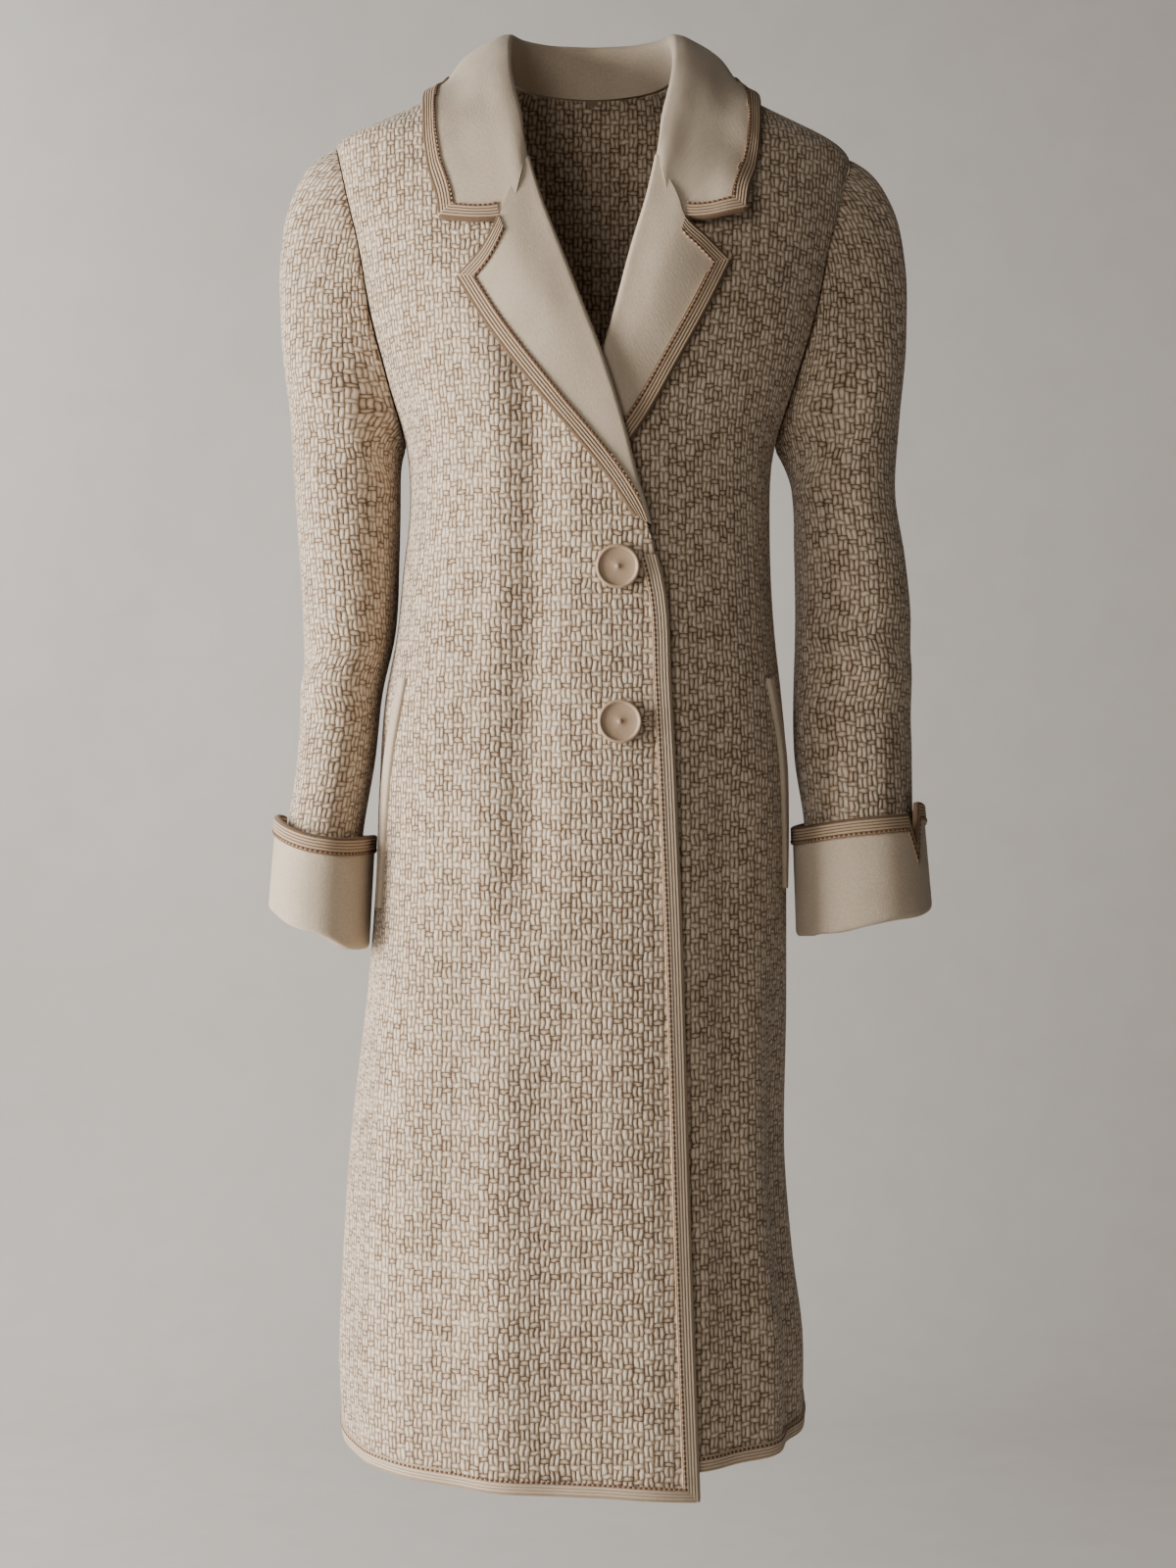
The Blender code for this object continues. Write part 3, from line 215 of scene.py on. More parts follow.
# Collar, wearer's left half, from its front end to the centre back.  "fold" is the outer
# shoulder of the fold, "edge" the free edge.  The right half mirrors it.
# Columns: share along, fold x, y, z, edge x, y, z.
COLLAR = (
    (0.00, 0.0520, -0.086, -0.0900, 0.1125, -0.092, -0.1340),
    (0.14, 0.0585, -0.084, -0.0600, 0.1165, -0.080, -0.1000),
    (0.28, 0.0655, -0.062, -0.0190, 0.1215, -0.055, -0.0580),
    (0.42, 0.0675, -0.030, 0.0130, 0.1210, -0.018, -0.0260),
    (0.56, 0.0655, 0.007, 0.0310, 0.1090, 0.026, -0.0090),
    (0.70, 0.0575, 0.044, 0.0370, 0.0930, 0.068, -0.0130),
    (0.85, 0.0335, 0.069, 0.0390, 0.0520, 0.100, -0.0240),
    (1.00, 0.0000, 0.078, 0.0400, 0.0000, 0.110, -0.0290),
)
COLLAR_FRONT = 0.42       # share of the collar that is in front of the shoulder seam
# Front end of the collar seen from the front: down the gorge seam, then out along the
# lower edge to the corner; and the same places one tape's width up.
COLLAR_END = ((0.0515, -0.0935), (0.0680, -0.1395), (0.0820, -0.1420),
              (0.0990, -0.1405), (0.1110, -0.1385))
COLLAR_END_IN = ((0.0545, -0.0815), (0.0700, -0.1275), (0.0835, -0.1300),
                 (0.0995, -0.1285), (0.1125, -0.1265))

# Sections of the sleeves below the underarm: centre and half sizes.
# Columns: z, x, y, half x, half y.
SLEEVES = {
    -1: (
        (-0.335, -0.1915, 0.002, 0.0410, 0.0580),
        (-0.380, -0.1905, 0.004, 0.0390, 0.0570),
        (-0.440, -0.1905, 0.004, 0.0360, 0.0550),
        (-0.490, -0.1960, -0.002, 0.0315, 0.0545),
        (-0.540, -0.1995, -0.010, 0.0300, 0.0535),
        (-0.597, -0.2070, -0.022, 0.0290, 0.0545),
        (-0.690, -0.2126, -0.032, 0.0302, 0.0557),
    ),
    1: (
        (-0.335, 0.1980, 0.002, 0.0400, 0.0560),
        (-0.380, 0.2025, 0.004, 0.0430, 0.0540),
        (-0.440, 0.2055, 0.002, 0.0455, 0.0510),
        (-0.490, 0.2040, -0.004, 0.0460, 0.0490),
        (-0.540, 0.2040, -0.012, 0.0455, 0.0480),
        (-0.588, 0.2070, -0.022, 0.0420, 0.0485),
        (-0.690, 0.2122, -0.0323, 0.0445, 0.0485),
    ),
}
SLEEVE_END = 0.005        # how far a sleeve ends above the fold of its cuff

# Cuffs: ellipses at the top and bottom, heights of both edges, how much the edges tilt
# up on the outer side, and the vent's angle from the front, towards the outside.
CUFFS = {
    -1: {"top": (-0.2070, -0.022, 0.0385, 0.0640), "bottom": (-0.2115, -0.030, 0.0395, 0.0650),
         "top_z": -0.597, "bottom_z": -0.672, "top_tilt": 0.0080, "bottom_tilt": 0.0160,
         "vent": 118.0},
    1: {"top": (0.2070, -0.022, 0.0510, 0.0580), "bottom": (0.2110, -0.030, 0.0530, 0.0580),
        "top_z": -0.588, "bottom_z": -0.667, "top_tilt": 0.0060, "bottom_tilt": 0.0100,
        "vent": 47.0},
}
VENT_DEPTH = 0.024
VENT_HALF = 9.0           # half width of the vent's mouth, degrees
FLAP_RISE = 0.008         # how far the cuff rises behind the vent

# Slanted welts of the side pockets, seen from the front: a row for each point.
# Columns: z, x.
WELT_RIGHT = ((-0.480, -0.1400), (-0.545, -0.1520), (-0.600, -0.1570), (-0.655, -0.1600))
WELT_LEFT = ((-0.480, 0.1330), (-0.530, 0.1420), (-0.590, 0.1455), (-0.640, 0.1460))
WELT_WIDTH = 0.014
WELT_THICK = 0.0026

BUTTONS = {"button_upper": (0.0188, -0.399), "button_lower": (0.0204, -0.514)}

COLLAR_STATIONS = 13      # sections of the collar from near its front end to the centre back
CAP_ROWS = 6              # rows of a sleeve's cap
UP = np.array([0.0, 0.0, 1.0])
SIDE_NAME = {-1: "right", 1: "left"}   # the wearer's side by the sign of x
EDGES = {-1: EDGE_RIGHT, 1: EDGE_LEFT}

# ---------------------------------------------------------------- small tools
def smooth(table, at, column=1):
    """Smooth value of one column of a table at heights or angles `at`."""
    rows = sorted(table)
    xs = np.array([row[0] for row in rows])
    ys = np.array([row[column] for row in rows])
    step = np.diff(xs)
    rise = np.diff(ys) / step
    slope = np.zeros(len(xs))
    slope[0], slope[-1] = rise[0], rise[-1]
    for i in range(1, len(xs) - 1):
        if rise[i - 1] * rise[i] > 0:
            slope[i] = (rise[i - 1] * step[i] + rise[i] * step[i - 1]) / (step[i - 1] + step[i])
    at = np.clip(np.asarray(at, float), xs[0], xs[-1])
    k = np.clip(np.searchsorted(xs, at) - 1, 0, len(step) - 1)
    t = (at - xs[k]) / step[k]
    h = step[k]
    return hermite(t, ys[k], h * slope[k], ys[k + 1], h * slope[k + 1])


def hermite(t, low, low_slope, high, high_slope):
    """Cubic from low to high with the given slopes, for t from 0 to 1."""
    return ((1 + 2 * t) * (1 - t) ** 2 * low + t * (1 - t) ** 2 * low_slope
            + t * t * (3 - 2 * t) * high + t * t * (t - 1) * high_slope)


def run_length(points):
    """Length along a line of points from the first one to each."""
    return np.concatenate(([0.0], np.cumsum(np.linalg.norm(np.diff(points, axis=0), axis=1))))


def interp_points(at, xs, points):
    """Linear values of each column of points, known at xs, at one or more places."""
    return np.stack([np.interp(at, xs, points[:, i]) for i in range(points.shape[1])], axis=-1)


def turn_apart(degrees, centre):
    """Signed difference of two directions in degrees, from -180 to 180."""
    return (degrees - centre + 180.0) % 360.0 - 180.0


def along(points, t):
    """Smooth curve through points, t from 0 to 1 by length."""
    points = np.array(points, float)
    length = run_length(points)
    length /= length[-1]
    return np.stack([smooth(list(zip(length, points[:, c])), t) for c in range(points.shape[1])],
                    axis=-1)


def ease(value, low, high):
    t = np.clip((np.asarray(value, float) - low) / (high - low), 0.0, 1.0)
    return t * t * (3 - 2 * t)


def unit(vectors):
    return vectors / np.maximum(np.linalg.norm(vectors, axis=-1, keepdims=True), 1e-12)

# ---------------------------------------------------------------- the body form
def half_width(side, z):
    return smooth(RINGS, z, 1 if side < 0 else 2)


def fold_height(angle, z):
    """How far the soft folds lift the cloth at an angle and height."""
    total = np.zeros(np.broadcast(angle, z).shape)
    degrees = np.degrees(angle)
    for centre, half, depth, start, full in FOLDS:
        near = np.exp(-(turn_apart(degrees, centre) / half) ** 2)
        total = total + depth * near * ease(-z, -start, -full)
    return total


def form(angle, z, out=0.0):
    """Point of the body form; angle 0 is the front centre, +90 degrees the left side."""
    angle, z, out = np.broadcast_arrays(np.asarray(angle, float), np.asarray(z, float),
                                        np.asarray(out, float))
    across, ahead = np.sin(angle), np.cos(angle)
    width = np.where(across < 0, half_width(-1, z), half_width(1, z))
    depth = np.where(ahead > 0, smooth(RINGS, z, 3), smooth(RINGS, z, 4))
    x = width * np.sign(across) * np.abs(across) ** (2 / ROUND)
    y = -depth * np.sign(ahead) * np.abs(ahead) ** (2 / ROUND)
    points = np.stack([x, y, z], axis=-1)
    lift = out + fold_height(angle, z)
    flat = unit(np.stack([x / width ** 2, y / depth ** 2, np.zeros_like(x)], axis=-1))
    return points + flat * lift[..., None]


def form_normal(angle, z):
    turn, rise = 0.03, 0.004
    around = form(angle + turn, z) - form(angle - turn, z)
    upward = form(angle, z + rise) - form(angle, z - rise)
    return unit(np.cross(around, upward))


def surface(angle, z, out=0.0):
    """Point of the body form moved out along its true normal."""
    return form(angle, z) + form_normal(angle, z) * np.asarray(out, float)[..., None]


def angle_at(x, z):
    """Angle on the front half of the form where it has the given x."""
    share = np.clip(np.abs(x) / np.where(x < 0, half_width(-1, z), half_width(1, z)), 0, 1)
    return np.sign(x) * np.arcsin(share ** (ROUND / 2))


def angle_beside(y, z, side):
    """Angle on one side of the form where it has the given y."""
    depth = np.where(y < 0, smooth(RINGS, z, 3), smooth(RINGS, z, 4))
    ahead = np.clip(np.abs(y) / depth, 0, 1) ** (ROUND / 2)
    return side * np.where(y < 0, np.arccos(ahead), math.pi - np.arccos(ahead))


def lap_depth(angle, z, side):
    """How far a front lies inside the form, where the left one passes under the right."""
    if side < 0:
        return np.zeros(np.broadcast(angle, z).shape)
    return -smooth(LAP, z) * ease(-np.degrees(angle), -72.0, -24.0)

# ---------------------------------------------------------------- meshes
FINE = (0.0, 0.0008, 0.0017, 0.0028, 0.0042, 0.0062)   # grid lines beside a seam, metres
SEAM_LAP = 0.0003         # how far two panels run into each other at a seam
SEAM_SINK = 0.0013        # how far the cloth rolls down into a seam
SEAM_ROLL = 0.0026        # and over what distance
TAPE_STEPS = 6            # grid cells across the visible tape


def build_object(name, points, faces, uvs, materials, face_materials=None, sharp=50.0):
    """Mesh object from plain lists; uvs holds one pair for every face corner."""
    mesh = bpy.data.meshes.new(name)
    mesh.from_pydata([tuple(p) for p in points], [], faces)
    layer = mesh.uv_layers.new(name="grain")
    layer.data.foreach_set("uv", np.array(uvs, np.float32).ravel())
    for material in materials:
        mesh.materials.append(material)
    if face_materials is not None:
        mesh.polygons.foreach_set("material_index", np.array(face_materials, np.int32))
    mesh.validate()
    mesh.shade_smooth()
    mesh.set_sharp_from_angle(angle=math.radians(sharp))
    thing = bpy.data.objects.new(name, mesh)
    bpy.context.scene.collection.objects.link(thing)
    return thing


def plain_uvs(faces):
    return [(0.0, 0.0)] * sum(len(face) for face in faces)


def cell_list(rows, columns, wrap=False):
    """Corners of each cell of a grid as (row, column) pairs."""
    cells = []
    for r in range(rows - 1):
        for c in range(columns if wrap else columns - 1):
            cells.append(((r, c), (r, c + 1), (r + 1, c + 1), (r + 1, c)))
    return cells


def side_uses(faces):
    """How many faces use each side."""
    used = {}
    for face in faces:
        for a, b in zip(face, face[1:] + face[:1]):
            used[frozenset((a, b))] = used.get(frozenset((a, b)), 0) + 1
    return used


def cloth(name, sheets, materials, wrap=False):
    """Closed piece of cloth between outer and inner grids; shared points are joined.

    A sheet is (outer, inner, uv).  With wrap, the last column joins the first one and uv
    has one column more than the points."""
    index, outer, inner, faces, uvs = {}, [], [], [], []
    for out_grid, in_grid, uv in sheets:
        rows, columns = out_grid.shape[:2]
        numbers = np.zeros((rows, columns), int)
        for r in range(rows):
            for c in range(columns):
                key = tuple(np.round(out_grid[r, c], 6))
                if key not in index:
                    index[key] = len(outer)
                    outer.append(out_grid[r, c])
                    inner.append(in_grid[r, c])
                numbers[r, c] = index[key]
        for cell in cell_list(rows, columns, wrap):
            corners = [int(numbers[r, c % columns]) for r, c in cell]
            places = [tuple(uv[r, c]) for r, c in cell]
            kept = [i for i in range(4) if corners[i] != corners[i - 1]]
            if len(kept) > 2:
                faces.append(tuple(corners[i] for i in kept))
                uvs.append([places[i] for i in kept])
    count = len(outer)
    used = side_uses(faces)
    front_faces, front_uvs = list(faces), list(uvs)
    for face, uv in zip(front_faces, front_uvs):
        faces.append(tuple(i + count for i in reversed(face)))
        uvs.append(list(reversed(uv)))
    for face, uv in zip(front_faces, front_uvs):
        size = len(face)
        for i in range(size):
            a, b = face[i], face[(i + 1) % size]
            if used[frozenset((a, b))] == 1:
                faces.append((b, a, a + count, b + count))
                uvs.append([uv[(i + 1) % size], uv[i], uv[i], uv[(i + 1) % size]])
    flat_uvs = [place for uv in uvs for place in uv]
    thing = build_object(name, outer + inner, faces, flat_uvs, materials)
    return fix_outside(thing)


def fix_outside(thing):
    """Turns a closed mesh inside out if its faces look inwards."""
    mesh = thing.data
    count = len(mesh.vertices)
    points = np.zeros(count * 3)
    mesh.vertices.foreach_get("co", points)
    points = points.reshape(-1, 3)
    mesh.calc_loop_triangles()
    corners = np.zeros(len(mesh.loop_triangles) * 3, int)
    mesh.loop_triangles.foreach_get("vertices", corners)
    a, b, c = [points[corners[i::3]] for i in range(3)]
    if np.sum(a * np.cross(b, c)) < 0:
        mesh.flip_normals()
    return thing


def step_lengths(grid, axis):
    """Length from the first row or column of a grid of points to each other one."""
    steps = np.linalg.norm(np.diff(grid, axis=axis), axis=-1)
    start = np.zeros_like(np.take(steps, [0], axis=axis))
    return np.concatenate((start, np.cumsum(steps, axis=axis)), axis=axis)


def seam_sink(distance):
    return -SEAM_SINK * np.exp(-(np.asarray(distance) / SEAM_ROLL) ** 2)


def spread(length, count, seam=True, tape=EDGE_TAPE):
    """Places along a row: fine beside the seam, even, then even steps across the tape."""
    tape = min(tape, length * 0.3)
    first = np.array(FINE) if seam else np.zeros(1)
    first = first * min(1.0, length / 0.03)
    middle = np.linspace(first[-1], length - tape, count + 1)[1:]
    return np.concatenate((first, middle, length - tape + tape * TAPE_RAMP))


TAPE_RAMP = np.linspace(0, 1, TAPE_STEPS + 1)[1:]

# ---------------------------------------------------------------- body panels
FRONT_LEVELS, FRONT_MIDDLE = 96, 34    # rows below and above, columns across a front
BACK_LEVELS, BACK_MIDDLE = 90, 32


def hem_height(angle, side):
    return smooth(HEM if side < 0 else HEM_LEFT, np.degrees(angle))


def outer_side(side, where, level):
    """Angle and height up a side seam, then round the armhole to the shoulder tip."""
    hem = hem_height(side * math.pi / 2, side)
    share = np.clip((level - SIDE_ROW) / (1 - SIDE_ROW), 0, 1)
    turn = math.pi * (1 - share)
    z_arm = TIP_Z[side] + (UNDERARM_Z - TIP_Z[side]) * (1 - np.cos(turn)) / 2
    z_side = hem + (UNDERARM_Z - hem) * np.clip(level / SIDE_ROW, 0, 1)
    z = np.where(level < SIDE_ROW, z_side, z_arm)
    reach = np.where(level < SIDE_ROW, 0.0, ARMHOLE_HALF[where] * np.sin(turn))
    y = (-1 if where == "front" else 1) * (reach - SEAM_LAP)
    return angle_beside(y, z, side), z


def panel_levels(count, hem):
    """Row levels: even steps across the hem tape, the panel, then fine below the shoulder."""
    tape = HEM_TAPE / (UNDERARM_Z - hem) * SIDE_ROW
    hem_rows = np.linspace(0, tape, TAPE_STEPS + 1)
    low = np.linspace(tape, SIDE_ROW, int(count * 0.56))[1:]
    top = 1 - np.array(FINE)[::-1] / 0.30 * (1 - SIDE_ROW)
    high = np.linspace(SIDE_ROW, top[0], count - len(low))[1:-1]
    return np.concatenate((hem_rows, low, high, top))


def row_places(out_angle, out_z, in_angle, in_z, middle, tape):
    """Angles and heights of one row, spaced along its length from the seam inwards."""
    fine = np.linspace(0, 1, 120)
    run = surface(out_angle + (in_angle - out_angle) * fine, out_z + (in_z - out_z) * fine)
    length = run_length(run)
    if tape:
        wanted = spread(length[-1], middle)
    else:
        first = np.array(FINE) * min(1.0, length[-1] / 0.03)
        wanted = np.concatenate((first, np.linspace(first[-1], length[-1], middle + 1)[1:]))
    share = np.interp(wanted, length, fine)
    return out_angle + (in_angle - out_angle) * share, out_z + (in_z - out_z) * share


def panel_grid(side, levels, out_places, in_places, middle, tape):
    """Angles and heights of a panel's rows between its two edges, with its hem line."""
    rows = [row_places(*ends, middle, tape) for ends in zip(*out_places, *in_places)]
    angles = np.array([row[0] for row in rows])
    heights = np.array([row[1] for row in rows])
    curve = hem_height(angles[0], side) - heights[0]
    heights += curve[None, :] * (1 - ease(levels, 0.0, SIDE_ROW))[:, None]
    return angles, heights


def front_places(side):
    """Angle and height of every grid point of a front."""
    table = EDGES[side]
    levels = panel_levels(FRONT_LEVELS, HEM[3][1])
    out_angle, out_z = outer_side(side, "front", levels)
    hem_angle = angle_at(table[0][1], table[0][0])
    hem_z = float(hem_height(hem_angle, side))
    split = UNDERARM_Z - 0.004
    left_over = np.clip((1 - levels) / (1 - SIDE_ROW), 0, 1)
    in_z = np.where(levels < SIDE_ROW, hem_z + (split - hem_z) * levels / SIDE_ROW,
                    NECK_Z + (split - NECK_Z) * left_over ** TOP_CROWD)
    in_angle = angle_at(smooth(table, in_z), in_z)
    in_angle[-1] = angle_beside(np.array(-SEAM_GAP * 0.7), np.array(NECK_Z), side)
    return panel_grid(side, levels, (out_angle, out_z), (in_angle, in_z), FRONT_MIDDLE, True)


def back_places(side):
    """Angle and height of every grid point of half the back, outer side to centre."""
    levels = panel_levels(BACK_LEVELS, HEM[0][1])
    out_angle, out_z = outer_side(side, "back", levels)
    neck_low = NECK_Z - NECK_DROP
    past = np.clip((levels - NECK_ROW) / (1 - NECK_ROW), 0, 1)
    below = np.minimum((out_z + outer_side(-side, "back", levels)[1]) / 2, neck_low)
    start = below[levels <= SIDE_ROW][-1]
    between = start + (neck_low - start) * (levels - SIDE_ROW) / (NECK_ROW - SIDE_ROW)
    in_z = np.where(levels <= SIDE_ROW, below,
                    np.where(levels < NECK_ROW, between, neck_low + (NECK_Z - neck_low) * past))
    last = angle_beside(np.array(SEAM_GAP * 0.7), np.array(NECK_Z), side)
    in_angle = side * math.pi + (last - side * math.pi) * past
    angles, heights = panel_grid(side, levels, (out_angle, out_z), (in_angle, in_z),
                                 BACK_MIDDLE, False)
    return angles, heights, past


def panel_sheet(angles, heights, out, thickness=WOOL):
    normals = form_normal(angles, heights)
    outer = form(angles, heights) + normals * out[..., None]
    return outer, outer - normals * thickness, normals


def level_length(angles, heights, centre, steps=48):
    """Signed length along a level line of the form from the angle centre to each point."""
    span = angles - centre
    last = form(np.full(angles.shape, centre), heights)
    total = np.zeros(angles.shape)
    for k in range(1, steps + 1):
        here = form(centre + span * k / steps, heights)
        total += np.linalg.norm(here - last, axis=-1)
        last = here
    return total * np.sign(span)


def grain(points, normals, angles, heights, centre):
    """UVs in metres: along level lines from the angle centre, and up the cloth's slope."""
    u = level_length(angles, heights, centre)
    level = unit(np.cross(UP, normals))
    slope = np.cross(normals, level)
    rise = np.sum(np.diff(points, axis=0) * (slope[1:] + slope[:-1]) / 2, axis=-1)
    v = points[0, :, 2] + np.concatenate((np.zeros((1, rise.shape[1])), np.cumsum(rise, axis=0)))
    return np.stack([u, v], axis=-1)


def make_front(side, looks):
    name = SIDE_NAME[side]
    angles, heights = front_places(side)
    flat, _, _ = panel_sheet(angles, heights, np.zeros(angles.shape))
    seam = step_lengths(flat, 1)
    top = step_lengths(flat[::-1], 0)[::-1]
    out = lap_depth(angles, heights, side) + seam_sink(seam) + seam_sink(top)
    out = out + front_relief(side, flat, angles, heights)
    outer, inner, normals = panel_sheet(angles, heights, out)
    uv = grain(outer, normals, angles, heights, 0.0)
    piece = cloth("coat_front_" + name, [(outer, inner, uv)], [looks["wool"]])
    edge_rows = int(np.sum(heights[:, -1] < BREAK_Z[side]))
    tape = tape_skin("tape_front_" + name, outer, inner, normals, looks,
                     right=(0, edge_rows), bottom=(1, outer.shape[1]),
                     width=EDGE_TAPE, hem_width=HEM_TAPE, kind="tape_pale")
    return piece, tape


# Soft dips and rises of the worn fronts on top of the form's own folds: centre and half
# width in degrees, depth outwards, lowest and highest height.
FRONT_SHADING_FOLDS = {
    -1: ((-13.0, 6.5, -0.0080, -0.62, -0.20), (-25.0, 6.0, 0.0030, -0.62, -0.22),
         (-7.0, 7.0, -0.0050, -1.20, -0.78), (-58.0, 7.0, 0.0025, -1.20, -0.75),
         (-20.0, 6.0, 0.0025, -1.20, -0.80)),
    1: ((40.0, 8.0, -0.0035, -1.20, -0.60), (28.0, 7.0, 0.0020, -1.20, -0.60)),
}

# Line of the dart on each front, from the waist up: rows of z and x.
DART_RIGHT = ((-0.62, -0.150), (-0.42, -0.128), (-0.30, -0.122), (-0.20, -0.118), (-0.10, -0.113))
DART_LEFT = ((-0.62, 0.142), (-0.42, 0.118), (-0.30, 0.122), (-0.20, 0.123), (-0.10, 0.124))
FADE = 0.08               # over what height a dip or rise starts and ends
SEAM_GROOVE = 0.0008      # how deep a sewn line lies in a panel
SEAM_LINE = 0.0022        # and its half width


def front_relief(side, points, angles, heights):
    """Low relief sewn into a front: the line of the dart from the armhole to the waist."""
    x = points[..., 0]
    z = heights
    line = smooth(DART_RIGHT if side < 0 else DART_LEFT, z)
    near = np.exp(-((x - line) / SEAM_LINE) ** 2)
    span = ease(z, -0.60, -0.45) * (1 - ease(z, -0.135, -0.10))
    degrees = np.degrees(angles)
    total = -SEAM_GROOVE * near * span
    for centre, half, depth, low, high in FRONT_SHADING_FOLDS[side]:
        apart = (degrees - centre) / half
        span = ease(z, low - FADE, low) * (1 - ease(z, high, high + FADE))
        total = total + depth * np.exp(-apart ** 2) * span
    return total


def make_back(looks):
    sheets, tapes = [], []
    for side in (-1, 1):
        angles, heights, past = back_places(side)
        flat, _, _ = panel_sheet(angles, heights, np.zeros(angles.shape))
        seam = step_lengths(flat, 1)
        top = step_lengths(flat[::-1], 0)[::-1]
        out = seam_sink(seam) + seam_sink(top)
        centre_seam = (np.pi - np.abs(angles)) * 0.14
        groove = SEAM_GROOVE * np.exp(-(centre_seam / SEAM_LINE) ** 2)
        out = out - groove * (1 - ease(past, 0.0, 0.2))[:, None]
        outer, inner, normals = panel_sheet(angles, heights, out)
        centre = np.abs(np.abs(angles[:, -1]) - math.pi) < 1e-9
        for grid in (outer, inner):
            grid[centre, -1, 0] = 0.0
        uv = grain(outer, normals, angles, heights, side * math.pi)
        sheets.append((outer, inner, uv))
        tapes.append((outer, inner, normals))
    piece = cloth("coat_back", sheets, [looks["wool"]])
    joined = [np.concatenate((a, b[:, -2::-1]), axis=1) for a, b in zip(*tapes)]
    tape = tape_skin("tape_back_hem", *joined, looks, bottom=(0, joined[0].shape[1]),
                     width=EDGE_TAPE, hem_width=HEM_TAPE, kind="tape_pale")
    return piece, tape

# ---------------------------------------------------------------- tape and stitches
TAPE_TOP = 0.0015         # how far the tape's face stands off the cloth
TAPE_DIP = 0.0004         # how far its long inner edge goes into the cloth
STITCH_INSET = 0.0019     # from the tape's inner edge to the row of stitches
STITCH_STEP = 0.0037      # from one stitch to the next
STITCH_LONG, STITCH_WIDE = 0.0030, 0.0010
WRAP_STEPS = 6            # faces round the cloth's raw edge


def tape_skin(name, outer, inner, normals, looks, right=None, bottom=None, top=None,
              width=EDGE_TAPE, hem_width=EDGE_TAPE, kind="tape", wrap=False):
    """Tape folded over the free edges of a grid, with its row of stitches.

    right is the range of rows taped along the last column; bottom and top are the ranges of
    columns taped along the first and last row."""
    rows, columns = outer.shape[:2]
    limit = columns if wrap else columns - 1
    widths = {"right": width, "bottom": hem_width, "top": width}
    distances = {}
    if right is not None:
        distances["right"] = step_lengths(outer[:, ::-1], 1)[:, ::-1]
    if bottom is not None:
        distances["bottom"] = step_lengths(outer, 0)
    if top is not None:
        distances["top"] = step_lengths(outer[::-1], 0)[::-1]
    ranges = {"right": right, "bottom": bottom, "top": top}

    def taped(r, c):
        """Which edge's tape covers the cell between (r, c) and (r + 1, c + 1)."""
        best, best_share = None, 1.02
        for edge, distance in distances.items():
            low, high = ranges[edge]
            place = r if edge == "right" else c
            if not low <= place < high - 1 + (1 if wrap and edge != "right" else 0):
                continue
            d = (c + 1) % columns
            far = max(distance[r, c], distance[r, d], distance[r + 1, c], distance[r + 1, d])
            if far / widths[edge] < best_share:
                best, best_share = edge, far / widths[edge]
        return best

    points, faces, uvs, numbers = [], [], [], {}

    def number(r, c, layer):
        """Vertex of the tape's outer (0) or inner (1) face over a grid point."""
        c = c % columns
        key = (r, c, layer)
        if key not in numbers:
            numbers[key] = len(points)
            if layer == 0:
                points.append(outer[r, c] + normals[r, c] * TAPE_TOP)
            else:
                points.append(inner[r, c] - normals[r, c] * TAPE_TOP)
        return numbers[key]

    for r in range(rows - 1):
        for c in range(limit):
            edge = taped(r, c)
            if edge is None:
                continue
            corners = ((r, c), (r, c + 1), (r + 1, c + 1), (r + 1, c))
            uv = [tape_uv(distances, edge, i, j % columns, outer) for i, j in corners]
            faces.append([number(i, j, 0) for i, j in corners])
            uvs.append(uv)
            faces.append([number(i, j, 1) for i, j in reversed(corners)])
            uvs.append(list(reversed(uv)))
    used = side_uses(faces)
    grid_of = {value: key for key, value in numbers.items()}
    on_edge = free_edge_test(rows, columns, right, bottom, top)
    strips, sunk = {}, {}
    for face, uv in list(zip(faces, uvs)):
        size = len(face)
        for i in range(size):
            a, b = face[i], face[(i + 1) % size]
            if used[frozenset((a, b))] != 1:
                continue
            (ra, ca, layer), (rb, cb, _) = grid_of[a], grid_of[b]
            if on_edge((ra, ca), (rb, cb)):
                if layer == 0:
                    strips[(a, b)] = (uv[i], uv[(i + 1) % size])
                continue
            for n in (a, b):
                if n not in sunk:
                    r, c, lay = grid_of[n]
                    sign = 1 if lay == 0 else -1
                    base = outer[r, c] if lay == 0 else inner[r, c]
                    sunk[n] = len(points)
                    points.append(base - sign * normals[r, c] * TAPE_DIP)
            faces.append([b, a, sunk[a], sunk[b]])
            uvs.append([uv[(i + 1) % size], uv[i], uv[i], uv[(i + 1) % size]])
    wrap_edge(points, faces, uvs, strips, grid_of, number, outer, inner, normals)
    flat = [place for uv in uvs for place in uv]
    thing = build_object(name, points, faces, flat, [looks[kind]], sharp=60.0)
    stitches = stitch_rows(name, outer, normals, distances, ranges, widths, looks, wrap)
    return [thing] + ([stitches] if stitches else [])


def tape_uv(distances, edge, r, c, outer):
    """Across the tape from its free edge, and along it, in metres."""
    across = distances[edge][r, c]
    point = outer[r, c]
    if edge == "right":
        return (across, float(point[2]))
    return (across, float(point[0]) + float(point[1]))


def free_edge_test(rows, columns, right, bottom, top):
    """Says whether a side of a cell lies on one of the grid's taped free edges."""
    def test(a, b):
        if right is not None and a[1] == b[1] == columns - 1:
            return True
        if bottom is not None and a[0] == b[0] == 0:
            return True
        return top is not None and a[0] == b[0] == rows - 1
    return test


